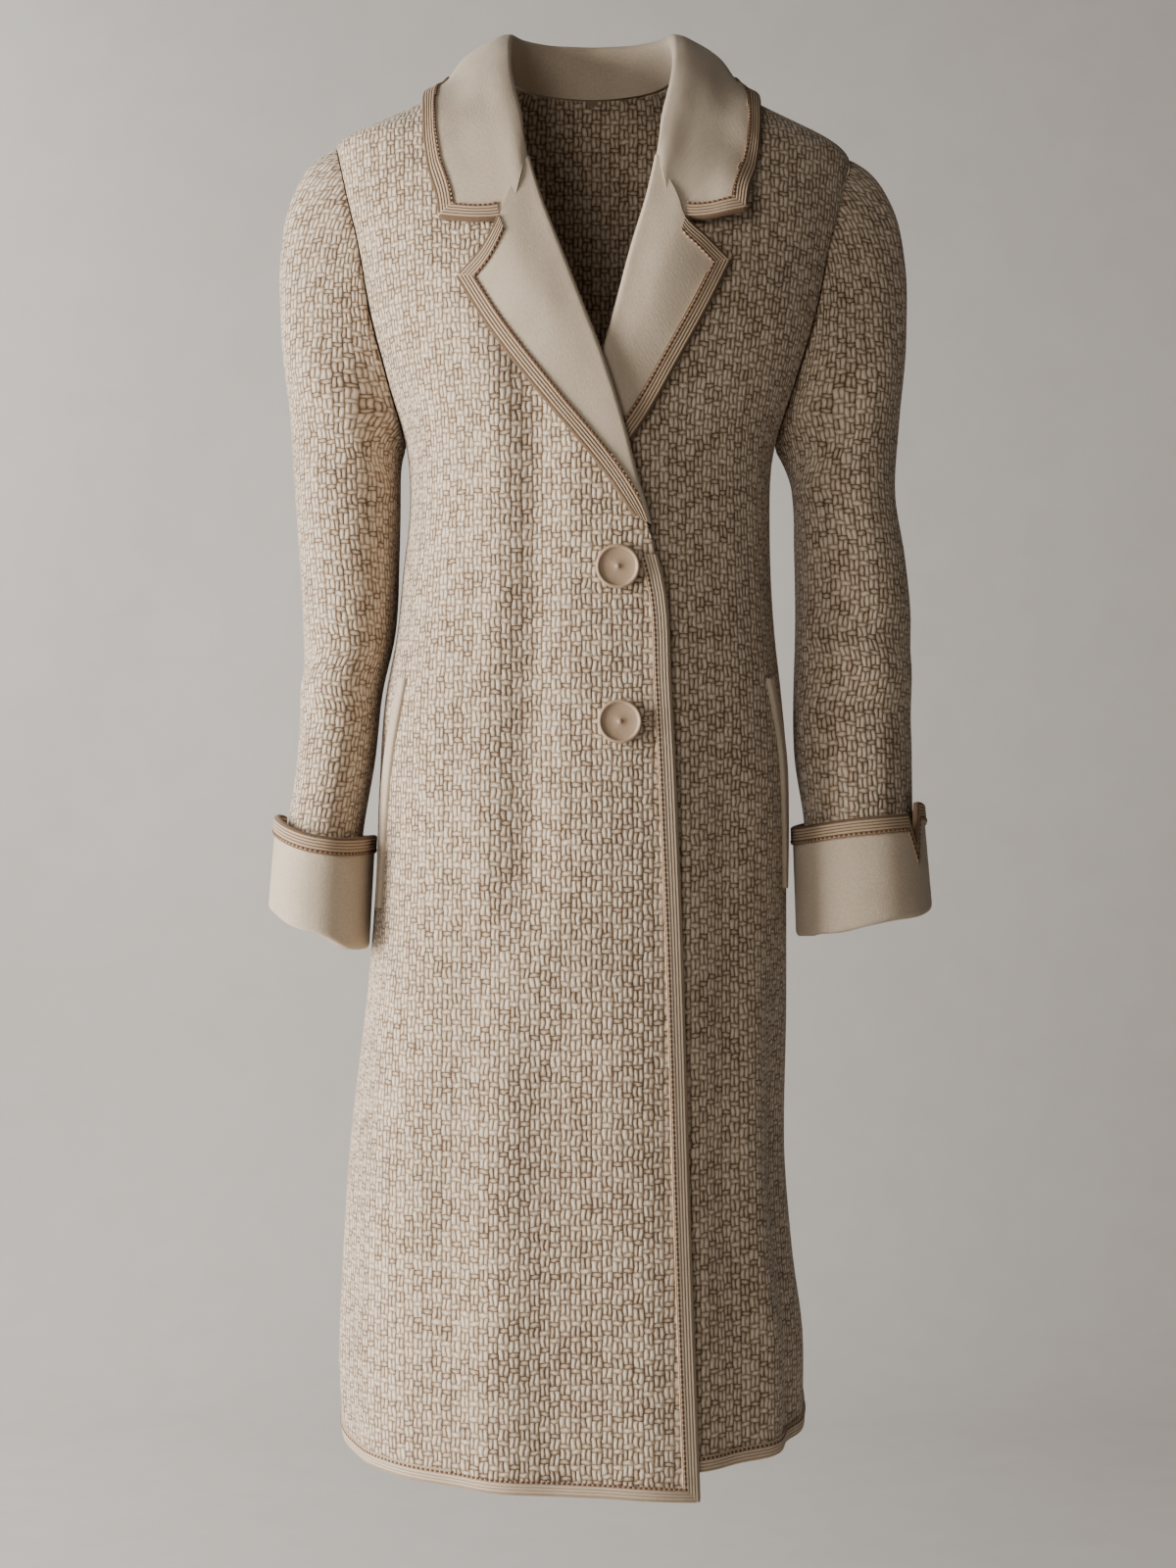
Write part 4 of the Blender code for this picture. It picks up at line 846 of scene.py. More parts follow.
def wrap_edge(points, faces, uvs, strips, grid_of, number, outer, inner, normals):
    """Rounds the tape over the raw edge, from its outer face to its inner one."""
    away = {}
    rows, columns = outer.shape[:2]
    for a, b in strips:
        for n in (a, b):
            r, c, _ = grid_of[n]
            along_edge = np.array(points[b]) - np.array(points[a])
            outward = unit(np.cross(along_edge, normals[r, c]))
            centre = outer[min(max(r, 3), rows - 4), c if columns > 200 else min(c, columns - 4)]
            if np.dot(outward, outer[r, c] - centre) < 0:
                outward = -outward
            away[n] = away.get(n, np.zeros(3)) + outward
    rings = {}
    for n, vector in away.items():
        r, c, _ = grid_of[n]
        vector = vector / np.linalg.norm(vector)
        middle = (outer[r, c] + inner[r, c]) / 2
        half = np.linalg.norm(outer[r, c] - inner[r, c]) / 2 + TAPE_TOP
        ring = [n]
        for k in range(1, WRAP_STEPS):
            turn = math.pi * k / WRAP_STEPS
            bulge = TAPE_TOP * 1.3 * math.sin(turn)
            ring.append(len(points))
            points.append(middle + normals[r, c] * half * math.cos(turn) + vector * bulge)
        ring.append(number(r, c, 1))
        rings[n] = ring
    for (a, b), (uv_a, uv_b) in strips.items():
        for k in range(WRAP_STEPS):
            faces.append([rings[b][k], rings[a][k], rings[a][k + 1], rings[b][k + 1]])
            uvs.append([uv_b, uv_a, uv_a, uv_b])


def stitch_rows(name, outer, normals, distances, ranges, widths, looks, wrap):
    """Running stitches a little inside the tape's inner edge, as one mesh."""
    lines = []
    for edge, distance in distances.items():
        low, high = ranges[edge]
        inset = widths[edge] - STITCH_INSET
        line = []
        others = [d for e, d in distances.items() if e != edge]
        count = outer.shape[0] if edge == "right" else outer.shape[1]
        for k in range(low, min(high, count)):
            if edge == "right":
                run, ds, ns = outer[k], distance[k], normals[k]
                rest = [d[k] for d in others]
            else:
                run, ds, ns = outer[:, k], distance[:, k], normals[:, k]
                rest = [d[:, k] for d in others]
            order = np.argsort(ds)
            if ds[order][-1] < inset:
                continue
            point = interp_points(inset, ds[order], run[order])
            normal = interp_points(inset, ds[order], ns[order])
            near = [np.interp(inset, ds[order], d[order]) for d in rest]
            if all(d > inset - 0.0004 for d in near):
                line.append((point, unit(normal)))
        if wrap and len(line) > 2:
            line.append(line[0])
        if len(line) > 3:
            lines.append(line)
    points, faces = [], []
    for line in lines:
        add_stitches(points, faces, line)
    if not faces:
        return None
    return build_object(name.replace("tape", "stitches"), points, faces, plain_uvs(faces),
                        [looks["thread"]])


def add_stitches(points, faces, line):
    """Short flat lozenges with rounded backs along a line of points and normals."""
    places = np.array([p for p, _ in line])
    ups = np.array([n for _, n in line])
    length = run_length(places)
    count = int(length[-1] / STITCH_STEP)
    if count < 1:
        return
    middles = (np.arange(count) + 0.5) * length[-1] / count
    for at in middles:
        ends = [interp_points(at + s * STITCH_LONG / 2, length, places) for s in (-1, 1)]
        normal = unit(interp_points(at, length, ups))
        ahead = unit(ends[1] - ends[0])
        across = np.cross(normal, ahead)
        centre = (ends[0] + ends[1]) / 2 + normal * TAPE_TOP
        start = len(points)
        for share, size in ((-1.0, 0.35), (-0.6, 0.9), (0.0, 1.0), (0.6, 0.9), (1.0, 0.35)):
            middle = centre + ahead * share * STITCH_LONG / 2
            for turn in (0, 60, 120, 180):
                angle = math.radians(turn)
                lift = math.sin(angle) * STITCH_WIDE * 0.9 * size - 0.0002
                points.append(middle + across * math.cos(angle) * STITCH_WIDE * size + normal * lift)
        for s in range(4):
            for k in range(3):
                a = start + s * 4 + k
                faces.append([a, a + 4, a + 5, a + 1])
        faces.append([start, start + 1, start + 2, start + 3])
        faces.append([start + 19, start + 18, start + 17, start + 16])

# ---------------------------------------------------------------- lapels
LAPEL_MIDDLE_ROWS, LAPEL_MIDDLE = 46, 18   # rows and columns before the taped ones
ROLL_RADIUS = 0.0046      # of a lapel's inner edge over the roll line
ROOT_SINK = 0.0016        # how far lapels and collar run down into the cloth they stand on


def coons(bottom, top, left, right):
    """Patch between four curves, each an array of points; rows run from bottom to top."""
    rows, columns = len(left), len(bottom)
    v = np.linspace(0, 1, rows)[:, None, None]
    u = np.linspace(0, 1, columns)[None, :, None]
    ruled = (1 - v) * bottom[None] + v * top[None] + (1 - u) * left[:, None] + u * right[:, None]
    corners = ((1 - u) * (1 - v) * bottom[0] + u * (1 - v) * bottom[-1]
               + (1 - u) * v * top[0] + u * v * top[-1])
    return ruled - corners


def taped_patch(flat, middle):
    """Spaces a flat patch's columns evenly, with the last few across the tape's width, and
    does the same for its last rows."""
    rows = flat.shape[0]
    wide = np.zeros((rows, middle + 1 + TAPE_STEPS, 2))
    for r in range(rows):
        length = run_length(flat[r])
        tape = min(EDGE_TAPE, length[-1] * 0.45)
        wanted = np.concatenate((np.linspace(0, length[-1] - tape, middle + 1),
                                 length[-1] - tape + tape * TAPE_RAMP))
        wide[r] = interp_points(wanted, length, flat[r])
    result = np.zeros((rows + TAPE_STEPS, wide.shape[1], 2))
    for c in range(wide.shape[1]):
        column = wide[:, c]
        length = run_length(column)
        wanted = np.concatenate((np.linspace(0, length[-1] - EDGE_TAPE, rows),
                                 length[-1] - EDGE_TAPE + EDGE_TAPE * TAPE_RAMP))
        result[:, c] = interp_points(wanted, length, column)
    return result


def make_lapel(name, looks):
    data = LAPELS[name]
    side = data["side"]
    table = EDGES[side]
    low, high = data["roll"]
    steps = np.linspace(0, 1, LAPEL_MIDDLE_ROWS)
    roll_z = low + (high - low) * steps
    left = np.stack([smooth(table, roll_z), roll_z], axis=-1)
    right = along(data["outer"], steps)
    top = along((tuple(left[-1]), *data["top"][1:]), np.linspace(0, 1, 24))
    bottom = left[0] + (right[0] - left[0]) * np.linspace(0, 1, 24)[:, None]
    flat = taped_patch(coons(bottom, top, left, right), LAPEL_MIDDLE)
    x, z = flat[..., 0], flat[..., 1]
    rows, columns = x.shape
    angles = angle_at(x, z)
    u = step_lengths(flat, 1)
    u = u / u[:, -1:]
    v = (z - z.min()) / (z.max() - z.min())
    belly = LAPEL_BELLY * np.sin(math.pi * u) ** 2 * ease(v, 0.35, 0.75) * (1 - 0.5 * v)
    out = LAPEL_RISE + LEAF + belly + lap_depth(angles, z, side)
    outer, inner, normals = panel_sheet(angles, z, out, LEAF)
    curl_out, curl_in = roll_columns(outer, normals)
    sheet_out = np.concatenate((curl_out, outer), axis=1)
    sheet_in = np.concatenate((curl_in, inner), axis=1)
    uv = np.stack([step_lengths(sheet_out, 1), np.repeat(z[:, :1], sheet_out.shape[1], 1)], axis=-1)
    piece = cloth("coat_lapel_" + name, [(sheet_out, sheet_in, uv)], [looks["facing"]])
    start = int(np.argmax(u[-1] * np.linalg.norm(flat[-1, -1] - flat[-1, 0]) > 0.046))
    tape = tape_skin("tape_lapel_" + name, outer, inner, normals, looks,
                     right=(0, rows), top=(start, columns))
    return piece, tape


def roll_columns(outer, normals):
    """The lapel's inner edge rounding over the roll line and down to the front's cloth."""
    away = unit(outer[:, 0] - outer[:, 1])
    normal = normals[:, 0]
    away = unit(away - normal * np.sum(away * normal, axis=-1, keepdims=True))
    drop = LAPEL_RISE + LEAF
    radius = ROLL_RADIUS
    turns = np.radians(np.linspace(0, 90, 7))[1:]
    out_steps = [(radius * math.sin(t), -radius * (1 - math.cos(t))) for t in turns]
    out_steps.append((radius, -drop - ROOT_SINK))
    in_steps = [(s * 0.42, -LEAF * 0.9 + h * 0.35) for s, h in out_steps[:-1]]
    in_steps.append((radius * 0.45, -drop - ROOT_SINK))
    out_columns = [outer[:, 0] + away * a + normal * b for a, b in reversed(out_steps)]
    in_columns = [outer[:, 0] + away * a + normal * b for a, b in reversed(in_steps)]
    return np.stack(out_columns, axis=1), np.stack(in_columns, axis=1)

# ---------------------------------------------------------------- finer grids
def refine(grid, counts, wrap=False):
    """Smooth curves through the rows of a grid, with counts[i] steps after row i."""
    if wrap:
        padded = np.concatenate((grid[-1:], grid, grid[:2]))
    else:
        padded = np.concatenate((2 * grid[:1] - grid[1:2], grid, 2 * grid[-1:] - grid[-2:-1]))
    steps = np.maximum(np.linalg.norm(np.diff(padded, axis=0), axis=-1, keepdims=True), 1e-7)
    slopes = np.diff(padded, axis=0) / steps
    tangent = (slopes[:-1] * steps[1:] + slopes[1:] * steps[:-1]) / (steps[:-1] + steps[1:])
    rows = []
    for i, count in enumerate(counts):
        p, q = padded[i + 1], padded[i + 2]
        m, n, h = tangent[i], tangent[i + 1], steps[i + 1]
        for t in np.arange(count) / count:
            rows.append(hermite(t, p, h * m, q, h * n))
    if not wrap:
        rows.append(grid[-1])
    return np.array(rows)


def refine_across(grid, counts):
    return refine(grid.swapaxes(0, 1), counts).swapaxes(0, 1)


def grid_normals(grid, wrap=False):
    """Normals of a grid of points by differences, wrapped round its columns if asked."""
    if wrap:
        around = np.roll(grid, -1, axis=1) - np.roll(grid, 1, axis=1)
    else:
        around = np.gradient(grid, axis=1)
    return unit(np.cross(around, np.gradient(grid, axis=0)))


def lifted(points, clear):
    """Points moved out of the body form until they are `clear` above it."""
    points = points.copy()
    for _ in range(12):
        x, y, z = points[..., 0], points[..., 1], points[..., 2]

        def level(px, py, pz):
            width = np.where(px < 0, half_width(-1, pz), half_width(1, pz))
            depth = np.where(py < 0, smooth(RINGS, pz, 3), smooth(RINGS, pz, 4))
            return ((np.abs(px) / width) ** ROUND + (np.abs(py) / depth) ** ROUND) ** (1 / ROUND)

        tiny = 1e-4
        here = level(x, y, z)
        slope = np.stack([(level(x + tiny, y, z) - level(x - tiny, y, z)),
                          (level(x, y + tiny, z) - level(x, y - tiny, z)),
                          (level(x, y, z + tiny) - level(x, y, z - tiny))], axis=-1) / (2 * tiny)
        steep = np.linalg.norm(slope, axis=-1)
        away = (here - 1) / steep
        need = np.clip(clear - away, 0, 0.01)
        points += slope / steep[..., None] * need[..., None]
    return points


def collar_seat(at, side):
    """Point, normal and free direction of the neckline edge that the collar stands on."""
    if at < COLLAR_FRONT:
        z = LAPELS["left"]["roll"][1] * (1 - at / COLLAR_FRONT) ** 1.6
        angle = angle_at(smooth(EDGES[side], z), z)
    else:
        share = (at - COLLAR_FRONT) / (1 - COLLAR_FRONT)
        angle = side * (0.5 + 0.5 * share) * math.pi
        z = NECK_Z - NECK_DROP * share
    point, normal = form(angle, z), form_normal(angle, z)
    ahead = form(angle - side * 0.05, z) - point
    free = unit(ahead - normal * np.dot(ahead, normal))
    return point, normal, unit(free * (1 - ease(at, 0.2, 0.5)) + UP * (0.02 + ease(at, 0.2, 0.5)))


# The fold's crest and its turn down to the stand, outside and inside: how far each lies
# back from the outer shoulder of the fold and how far down.
COLLAR_FOLD = ((0.0028, 0.0006), (0.0010, 0.0034), (0.0052, 0.0034), (0.0021, 0.0046))
# How far the middle of the fall bulges, from the front end to the centre back.
COLLAR_BELLY = ((0.0, 0.0020), (0.3, 0.0100), (0.6, 0.0100), (1.0, 0.0060))


def collar_section(at, side):
    """Outer and inner points across the collar at one place: stand, fold and fall."""
    row = np.array([smooth(COLLAR, at, c) for c in range(1, 7)])
    fold, edge = row[:3] * (side, 1, 1), row[3:] * (side, 1, 1)
    seat, seat_normal, free = collar_seat(at, side)
    over = float(ease(at, 0.02, 0.40))
    level = unit(seat_normal * (1 - over) + UP * over)
    top = (seat + seat_normal * (LAPEL_RISE + LEAF)) * (1 - over) + fold * over
    top = top + level * 0.0020 * math.sin(math.pi * over)
    outward = edge - top
    outward = unit(outward - level * np.dot(outward, level))
    crest, crest_in, turn, turn_in = [top - outward * back - level * down
                                      for back, down in COLLAR_FOLD]
    base = (seat + free * 0.0052 - seat_normal * ROOT_SINK) * (1 - over)
    rise = 0.0007 + 0.0010 * (1 - float(ease(at, 0.42, 0.6)))
    across = unit(seat_normal * (1 - over) + seat_normal * (1, 1, 0) * over)
    base = base + (seat + free * rise - across * 0.0028) * over
    base_in = (seat + free * 0.0022 - seat_normal * ROOT_SINK) * (1 - over)
    base_in = base_in + (seat + free * rise + across * 0.0002) * over
    outer = [base, (base + turn) / 2, turn, crest, top]
    inner = [base_in, (base_in + turn_in) / 2, turn_in, crest_in, top - level * LEAF]
    span = edge - top
    tape_share = 1 - EDGE_TAPE / np.linalg.norm(span)
    belly = float(smooth(COLLAR_BELLY, at))
    side_out = unit(np.cross(np.cross(span, level), span))
    for share in (0.34 * tape_share, 0.68 * tape_share, tape_share, 1.0):
        outer.append(top + span * share + side_out * belly * math.sin(math.pi * share))
    return np.array(outer), np.array(inner)


def collar_grids():
    """Outer and inner points; rows go round the neck from the right front to the left."""
    steps = np.linspace(0.13, 1.0, COLLAR_STATIONS)
    grids = {}
    for side in (-1, 1):
        sections = [collar_section(at, side) for at in (0.0, 0.06, *steps)]
        outer = np.array([section[0] for section in sections])
        inner = np.array([section[1] for section in sections])
        for r, places in ((0, COLLAR_END), (1, COLLAR_END_IN)):
            for c, (x, z) in zip((4, 5, 6, 7, 8), places):
                if c == 4:
                    x = smooth(EDGES[side], z) * side
                x, z = np.array(x * side), np.array(z)
                sink, down = END_TUCK.get((r, c), (-COLLAR_OVER, 0.0))
                out = np.array(LAPEL_RISE + LEAF - sink)
                outer[r, c] = surface(angle_at(x, z - down), z - down, out)
            z = np.array(places[0][1])
            normal = form_normal(angle_at(outer[r, 4, 0], z), z)
            outer[r, 5:9] += normal * np.array(COLLAR_LIFT[side])[:, None]
            away = unit(outer[r, 4] - outer[r, 5])
            away = unit(away - normal * np.dot(away, normal))
            for c, (ahead, rise) in enumerate(END_CURL_OUT):
                outer[r, c] = outer[r, 4] + away * ahead + normal * rise
            for c, (ahead, rise) in enumerate(END_CURL_IN):
                inner[r, c] = outer[r, 4] + away * ahead + normal * rise
            inner[r, 4] = outer[r, 4] - normal * LEAF
        clear = np.full(outer.shape[:2], LEAF + 0.0014)
        clear[:, 7:] = LEAF + TAPE_CLEAR + TAPE + 0.0016
        clear[:, :4] = -0.02
        clear[3:, 4] = -0.02
        outer = lifted(outer, clear)
        grids[side] = (outer, inner)
    outer = np.concatenate((grids[-1][0], grids[1][0][-2::-1]))
    inner_start = np.concatenate((grids[-1][1], grids[1][1][-2::-1]))
    normals = grid_normals(outer)
    if normals[len(normals) // 2, -1][1] < 0:
        normals = -normals
    inner = outer - normals * LEAF
    inner[:, :5] = inner_start
    return outer, inner


# Collar end points tucked into the lapel's top: how deep and how far down.
END_TUCK = {(0, 4): (0.0012, 0.0030), (0, 5): (0.0005, 0.0010)}
# How far the collar's front end stands off the chest, from its seam to its corner.
COLLAR_LIFT = {-1: (0.0, 0.0004, 0.0010, 0.0014), 1: (0.0, 0.0030, 0.0085, 0.0110)}
# Curl of the collar's front end round the roll line: places ahead of it and up from it.
END_CURL_OUT = ((0.0040, -0.0068), (0.0040, -0.0052), (0.0037, -0.0030), (0.0023, -0.0008))
END_CURL_IN = ((0.0020, -0.0068), (0.0020, -0.0058), (0.0018, -0.0044), (0.0010, -0.0036))
COLLAR_ACROSS = (3, 3, 4, 4, 7, 7, 7, TAPE_STEPS)   # steps between the section's points
COLLAR_ALONG = 6                                    # steps between the collar's stations


def make_collar(looks):
    outer, inner = collar_grids()
    counts = [COLLAR_ALONG] * (len(outer) - 1)
    counts[0] = counts[-1] = TAPE_STEPS
    outer = refine_across(refine(outer, counts), COLLAR_ACROSS)
    inner = refine_across(refine(inner, counts), COLLAR_ACROSS)
    normals = unit(outer - inner)
    uv = np.stack([step_lengths(outer, 0), step_lengths(outer, 1)], axis=-1)
    piece = cloth("coat_collar", [(outer, inner, uv)], [looks["facing"]])
    rows, columns = outer.shape[:2]
    start = sum(COLLAR_ACROSS[:5])
    tape = tape_skin("tape_collar", outer, inner, normals, looks, right=(0, rows),
                     bottom=(start, columns), top=(start, columns))
    return piece, tape

# ---------------------------------------------------------------- sleeves and cuffs
SLEEVE_FINE, CUFF_FINE = 112, 160      # points round a sleeve and round a cuff
SLEEVE_ROW_STEPS = 7                   # steps between a sleeve's stated sections
SLEEVE_ROUND = 2.2                     # exponent of a sleeve's and a cuff's outline


def armhole_loop(side):
    """Points round the armhole, from the shoulder tip forwards, underarm and back."""
    turn = np.linspace(0, 2 * math.pi, SLEEVE_FINE, endpoint=False)
    z = TIP_Z[side] + (UNDERARM_Z - TIP_Z[side]) * (1 - np.cos(turn)) / 2
    half = np.where(np.sin(turn) > 0, ARMHOLE_HALF["front"], ARMHOLE_HALF["back"])
    y = -np.sin(turn) * half
    return turn, form(angle_beside(y, z, side), z)


def sleeve_section(side, z, turn):
    x, y, half_x, half_y = [smooth(SLEEVES[side], z, c) for c in range(1, 5)]
    power = 2 / SLEEVE_ROUND
    out, ahead = np.cos(turn), np.sin(turn)
    px = x + side * half_x * np.sign(out) * np.abs(out) ** power
    py = y - half_y * np.sign(ahead) * np.abs(ahead) ** power
    return np.stack([px, py, np.full_like(px, z)], axis=-1)


def sleeve_grid(side):
    turn, ring = armhole_loop(side)
    top_share = np.clip(np.cos(turn), 0, 1)[:, None]
    low_share = np.clip(-np.cos(turn), 0, 1)[:, None]
    outward = np.array([side, 0.0, 0.0])
    tangent = unit(outward * (0.55 + 0.45 * top_share) - UP * (0.75 - 0.30 * top_share))
    start = ring + outward * SEAM_GAP - UP * SEAM_GAP * low_share
    end = sleeve_section(side, SLEEVES[side][0][0], turn)
    reach = np.linalg.norm(end - start, axis=-1, keepdims=True)
    rows = []
    for t in np.linspace(0, 1, CAP_ROWS + 1)[:-1] ** 1.35:
        pull = reach * (0.75 + 0.15 * top_share)
        down = -UP * reach * 0.9
        rows.append(hermite(t, start, tangent * pull, end, down))
    for z in [row[0] for row in SLEEVES[side][:-1]]:
        rows.append(sleeve_section(side, z, turn))
    rows.append(sleeve_section(side, cuff_edge(side, "bottom", turn) + SLEEVE_END, turn))
    return turn, np.array(rows)


def make_sleeve(side, looks):
    turn, coarse = sleeve_grid(side)
    grid = refine(coarse, [SLEEVE_ROW_STEPS] * (len(coarse) - 1))
    normals = grid_normals(grid, wrap=True)
    if np.sum(normals[-1] * (grid[-1] - grid[-1].mean(axis=0))) < 0:
        normals = -normals
    length = step_lengths(grid, 0)
    outer = grid + normals * (seam_sink(length) + sleeve_relief(side, turn, grid))[..., None]
    inner = outer - normals * WOOL
    ring = np.concatenate((outer, outer[:, :1]), axis=1)
    around = step_lengths(ring, 1)
    line = grid[::-1, 0]
    places = np.stack([np.interp(ring[..., 2], line[:, 2], line[:, i]) for i in (0, 1)], axis=-1)
    girth = around[len(ring) // 2, -1]
    chord = np.linalg.norm(ring[..., :2] - places, axis=-1) * math.pi / girth
    bow = girth / math.pi * np.arcsin(np.clip(chord, 0, 1))
    bow[:, SLEEVE_FINE // 2:] = girth - bow[:, SLEEVE_FINE // 2:]
    cap = ease(ring[..., 2], UNDERARM_Z - 0.06, UNDERARM_Z + 0.03)
    u = bow * cap + around * (1 - cap)
    risen = line[0, 2] + step_lengths(line, 0)
    outer_share = np.clip(np.cos(np.append(turn, 0.0)), 0, 1) ** 2
    v = np.interp(ring[..., 2], line[:, 2], risen) * outer_share + ring[..., 2] * (1 - outer_share)
    uv = np.stack([u, v], axis=-1)
    name = "coat_sleeve_" + SIDE_NAME[side]
    return cloth(name, [(outer, inner, uv)], [looks["wool"]], wrap=True)


def sleeve_relief(side, turn, grid):
    """Soft creases of a worn sleeve: height, direction round the arm, slant and depth."""
    z = grid[..., 2]
    degrees = np.degrees(turn)[None, :]
    total = np.zeros(z.shape)
    for height, centre, half, slant, depth, wide in SLEEVE_CREASES[side]:
        apart = turn_apart(degrees, centre)
        line = height + slant * apart / 100.0
        total += depth * np.exp(-((z - line) / wide) ** 2) * np.exp(-(apart / half) ** 2)
    return total


SLEEVE_CREASES = {
    -1: ((-0.455, 60.0, 60.0, 0.020, -0.0030, 0.014), (-0.478, 75.0, 55.0, 0.015, 0.0022, 0.013),
         (-0.505, 90.0, 60.0, 0.010, -0.0026, 0.013), (-0.300, 70.0, 45.0, -0.040, -0.0022, 0.020),
         (-0.245, 60.0, 35.0, -0.050, 0.0018, 0.022), (-0.460, -80.0, 55.0, 0.015, -0.0026, 0.015)),
    1: ((-0.440, 65.0, 60.0, 0.022, -0.0028, 0.015), (-0.466, 78.0, 55.0, 0.016, 0.0020, 0.014),
        (-0.500, 85.0, 60.0, 0.012, -0.0026, 0.014), (-0.305, 70.0, 45.0, -0.040, -0.0022, 0.020),
        (-0.250, 60.0, 35.0, -0.050, 0.0018, 0.022), (-0.455, -80.0, 55.0, 0.015, -0.0026, 0.015)),
}


CUFF_REACH = 0.0109                    # from a cuff's inner face to the sleeve's
CUFF_INSIDE = (0.015, 0.026)           # heights of its inner rows above the lower edge
CUFF_RIPPLE = 0.0009                   # small wave of a cuff's lower edge
CUFF_WAVE = {-1: 0.0034, 1: -0.0012}   # rise of a cuff's top at its sides over its front


def cuff_edge(side, which, turn):
    """Height of a cuff's edge; turn 0 is the outer side and 90 degrees the front."""
    cuff = CUFFS[side]
    outer = np.cos(turn)
    if which == "bottom":
        return cuff["bottom_z"] + cuff["bottom_tilt"] * outer + CUFF_RIPPLE * np.sin(5 * turn + side)
    z = cuff["top_z"] + cuff["top_tilt"] * outer + CUFF_WAVE[side] * np.cos(2 * turn)
    apart = turn_apart(np.degrees(turn), 90.0 - cuff["vent"])
    z = z - VENT_DEPTH * np.clip(1 - np.abs(apart) / VENT_HALF, 0, 1)
    behind = ease(-apart, 0.0, VENT_HALF) * (1 - ease(-apart, VENT_HALF, 70.0))
    return z + FLAP_RISE * behind


def cuff_point(side, turn, z, out):
    cuff = CUFFS[side]
    share = (z - cuff["bottom_z"]) / (cuff["top_z"] - cuff["bottom_z"])
    x, y, half_x, half_y = [b + (t - b) * share for t, b in zip(cuff["top"], cuff["bottom"])]
    power = 2 / SLEEVE_ROUND
    c, s = np.cos(turn), np.sin(turn)
    px = x + side * (half_x + out) * np.sign(c) * np.abs(c) ** power
    py = y - (half_y + out) * np.sign(s) * np.abs(s) ** power
    return np.stack([px, py, z + 0 * px], axis=-1)


def make_cuff(side, looks):
    name = SIDE_NAME[side]
    vent = math.radians(90.0 - CUFFS[side]["vent"])
    turn = vent + np.linspace(0, 2 * math.pi, CUFF_FINE, endpoint=False)
    top, low = cuff_edge(side, "top", turn), cuff_edge(side, "bottom", turn)
    depth_in = CUFF_WALL + CUFF_REACH
    fold = low + CUFF_FOLD * 2

    def run(levels):
        return np.array([cuff_point(side, turn, z, out) for z, out in levels])

    tape_rows = [(top - EDGE_TAPE * t, 0.0) for t in np.concatenate(([0.0], TAPE_RAMP))]
    face = [(top - EDGE_TAPE + (fold - top + EDGE_TAPE) * t, 0.0) for t in np.linspace(0, 1, 13)[1:]]
    bend = [(low + CUFF_FOLD * 2 * (1 - math.sin(a)), -CUFF_FOLD * (1 - math.cos(a)))
            for a in np.radians((30, 60, 90))]
    half_in, far_in = -CUFF_FOLD - (depth_in - CUFF_FOLD) * 0.5, -depth_in - CUFF_FOLD
    risen = [fold] + [low + rise for rise in CUFF_INSIDE]
    back = [(low, half_in), (low, -depth_in)] + [(z, far_in) for z in risen]
    levels = tape_rows + face + bend + back
    outer = run(levels)
    back_in = [(low + CUFF_WALL, half_in), (low + CUFF_WALL, -depth_in)]
    back_in += [(z, far_in + CUFF_WALL) for z in risen]
    bend_in = [(z + CUFF_WALL * math.sin(a), out - CUFF_WALL * (1 - 0.4 * math.sin(a)))
               for (z, out), a in zip(bend, np.radians((30, 60, 90)))]
    inner = run([(z, -CUFF_WALL) for z, _ in tape_rows + face] + bend_in + back_in)
    around = step_lengths(np.concatenate((outer, outer[:, :1]), axis=1), 1)
    up = -step_lengths(outer, 0)
    uv = np.stack([around, np.concatenate((up, up[:, :1]), axis=1)], axis=-1)
    piece = cloth("coat_cuff_" + name, [(outer, inner, uv)], [looks["facing"]], wrap=True)
    normals = unit(outer - inner)
    tape = tape_skin("tape_cuff_" + name, outer, inner, normals, looks,
                     bottom=(0, CUFF_FINE), wrap=True)
    return piece, tape

# ---------------------------------------------------------------- pockets and buttons
WELT_ROWS, WELT_STEPS = 60, 12
BUTTON_AROUND = 96
BUTTON_PROFILE = ((0.0, 0.0), (0.62, 0.0), (0.86, 0.06), (0.955, 0.22), (0.995, 0.42),
                  (1.0, 0.58), (0.985, 0.78), (0.955, 0.93), (0.915, 1.0), (0.875, 0.98),
                  (0.842, 0.88), (0.822, 0.74), (0.800, 0.66), (0.770, 0.62), (0.40, 0.60),
                  (0.135, 0.60), (0.115, 0.64), (0.098, 0.76), (0.070, 0.84), (0.0, 0.86))


def make_welt(name, table, side, looks):
    """Slanted pocket welt, a folded strip standing a little off the front."""
    z = np.linspace(table[0][0], table[-1][0], WELT_ROWS)
    angle = angle_at(smooth(table, z), z)
    here = surface(angle, z)
    per_angle = np.linalg.norm(surface(angle + 0.05 * side, z) - here, axis=-1) / 0.05
    width = WELT_WIDTH * np.sin(math.pi * np.linspace(0.08, 0.92, WELT_ROWS)) ** 0.3
    shares = np.linspace(0, 1, WELT_STEPS)
    angles = angle[:, None] + side * shares[None, :] * (width / per_angle)[:, None]
    heights = np.repeat(z[:, None], WELT_STEPS, axis=1)
    round_over = np.sqrt(np.clip(1 - (2 * shares - 1) ** 6, 0, 1))[None, :]
    out = SEAM_GAP * 2.5 + WELT_THICK * (0.35 + 0.65 * round_over) + lap_depth(angles, heights, side)
    outer, inner, _ = panel_sheet(angles, heights, out, WELT_THICK * 0.8)
    uv = np.stack([step_lengths(outer, 1), heights], axis=-1)
    return cloth("coat_" + name, [(outer, inner, uv)], [looks["facing"]])


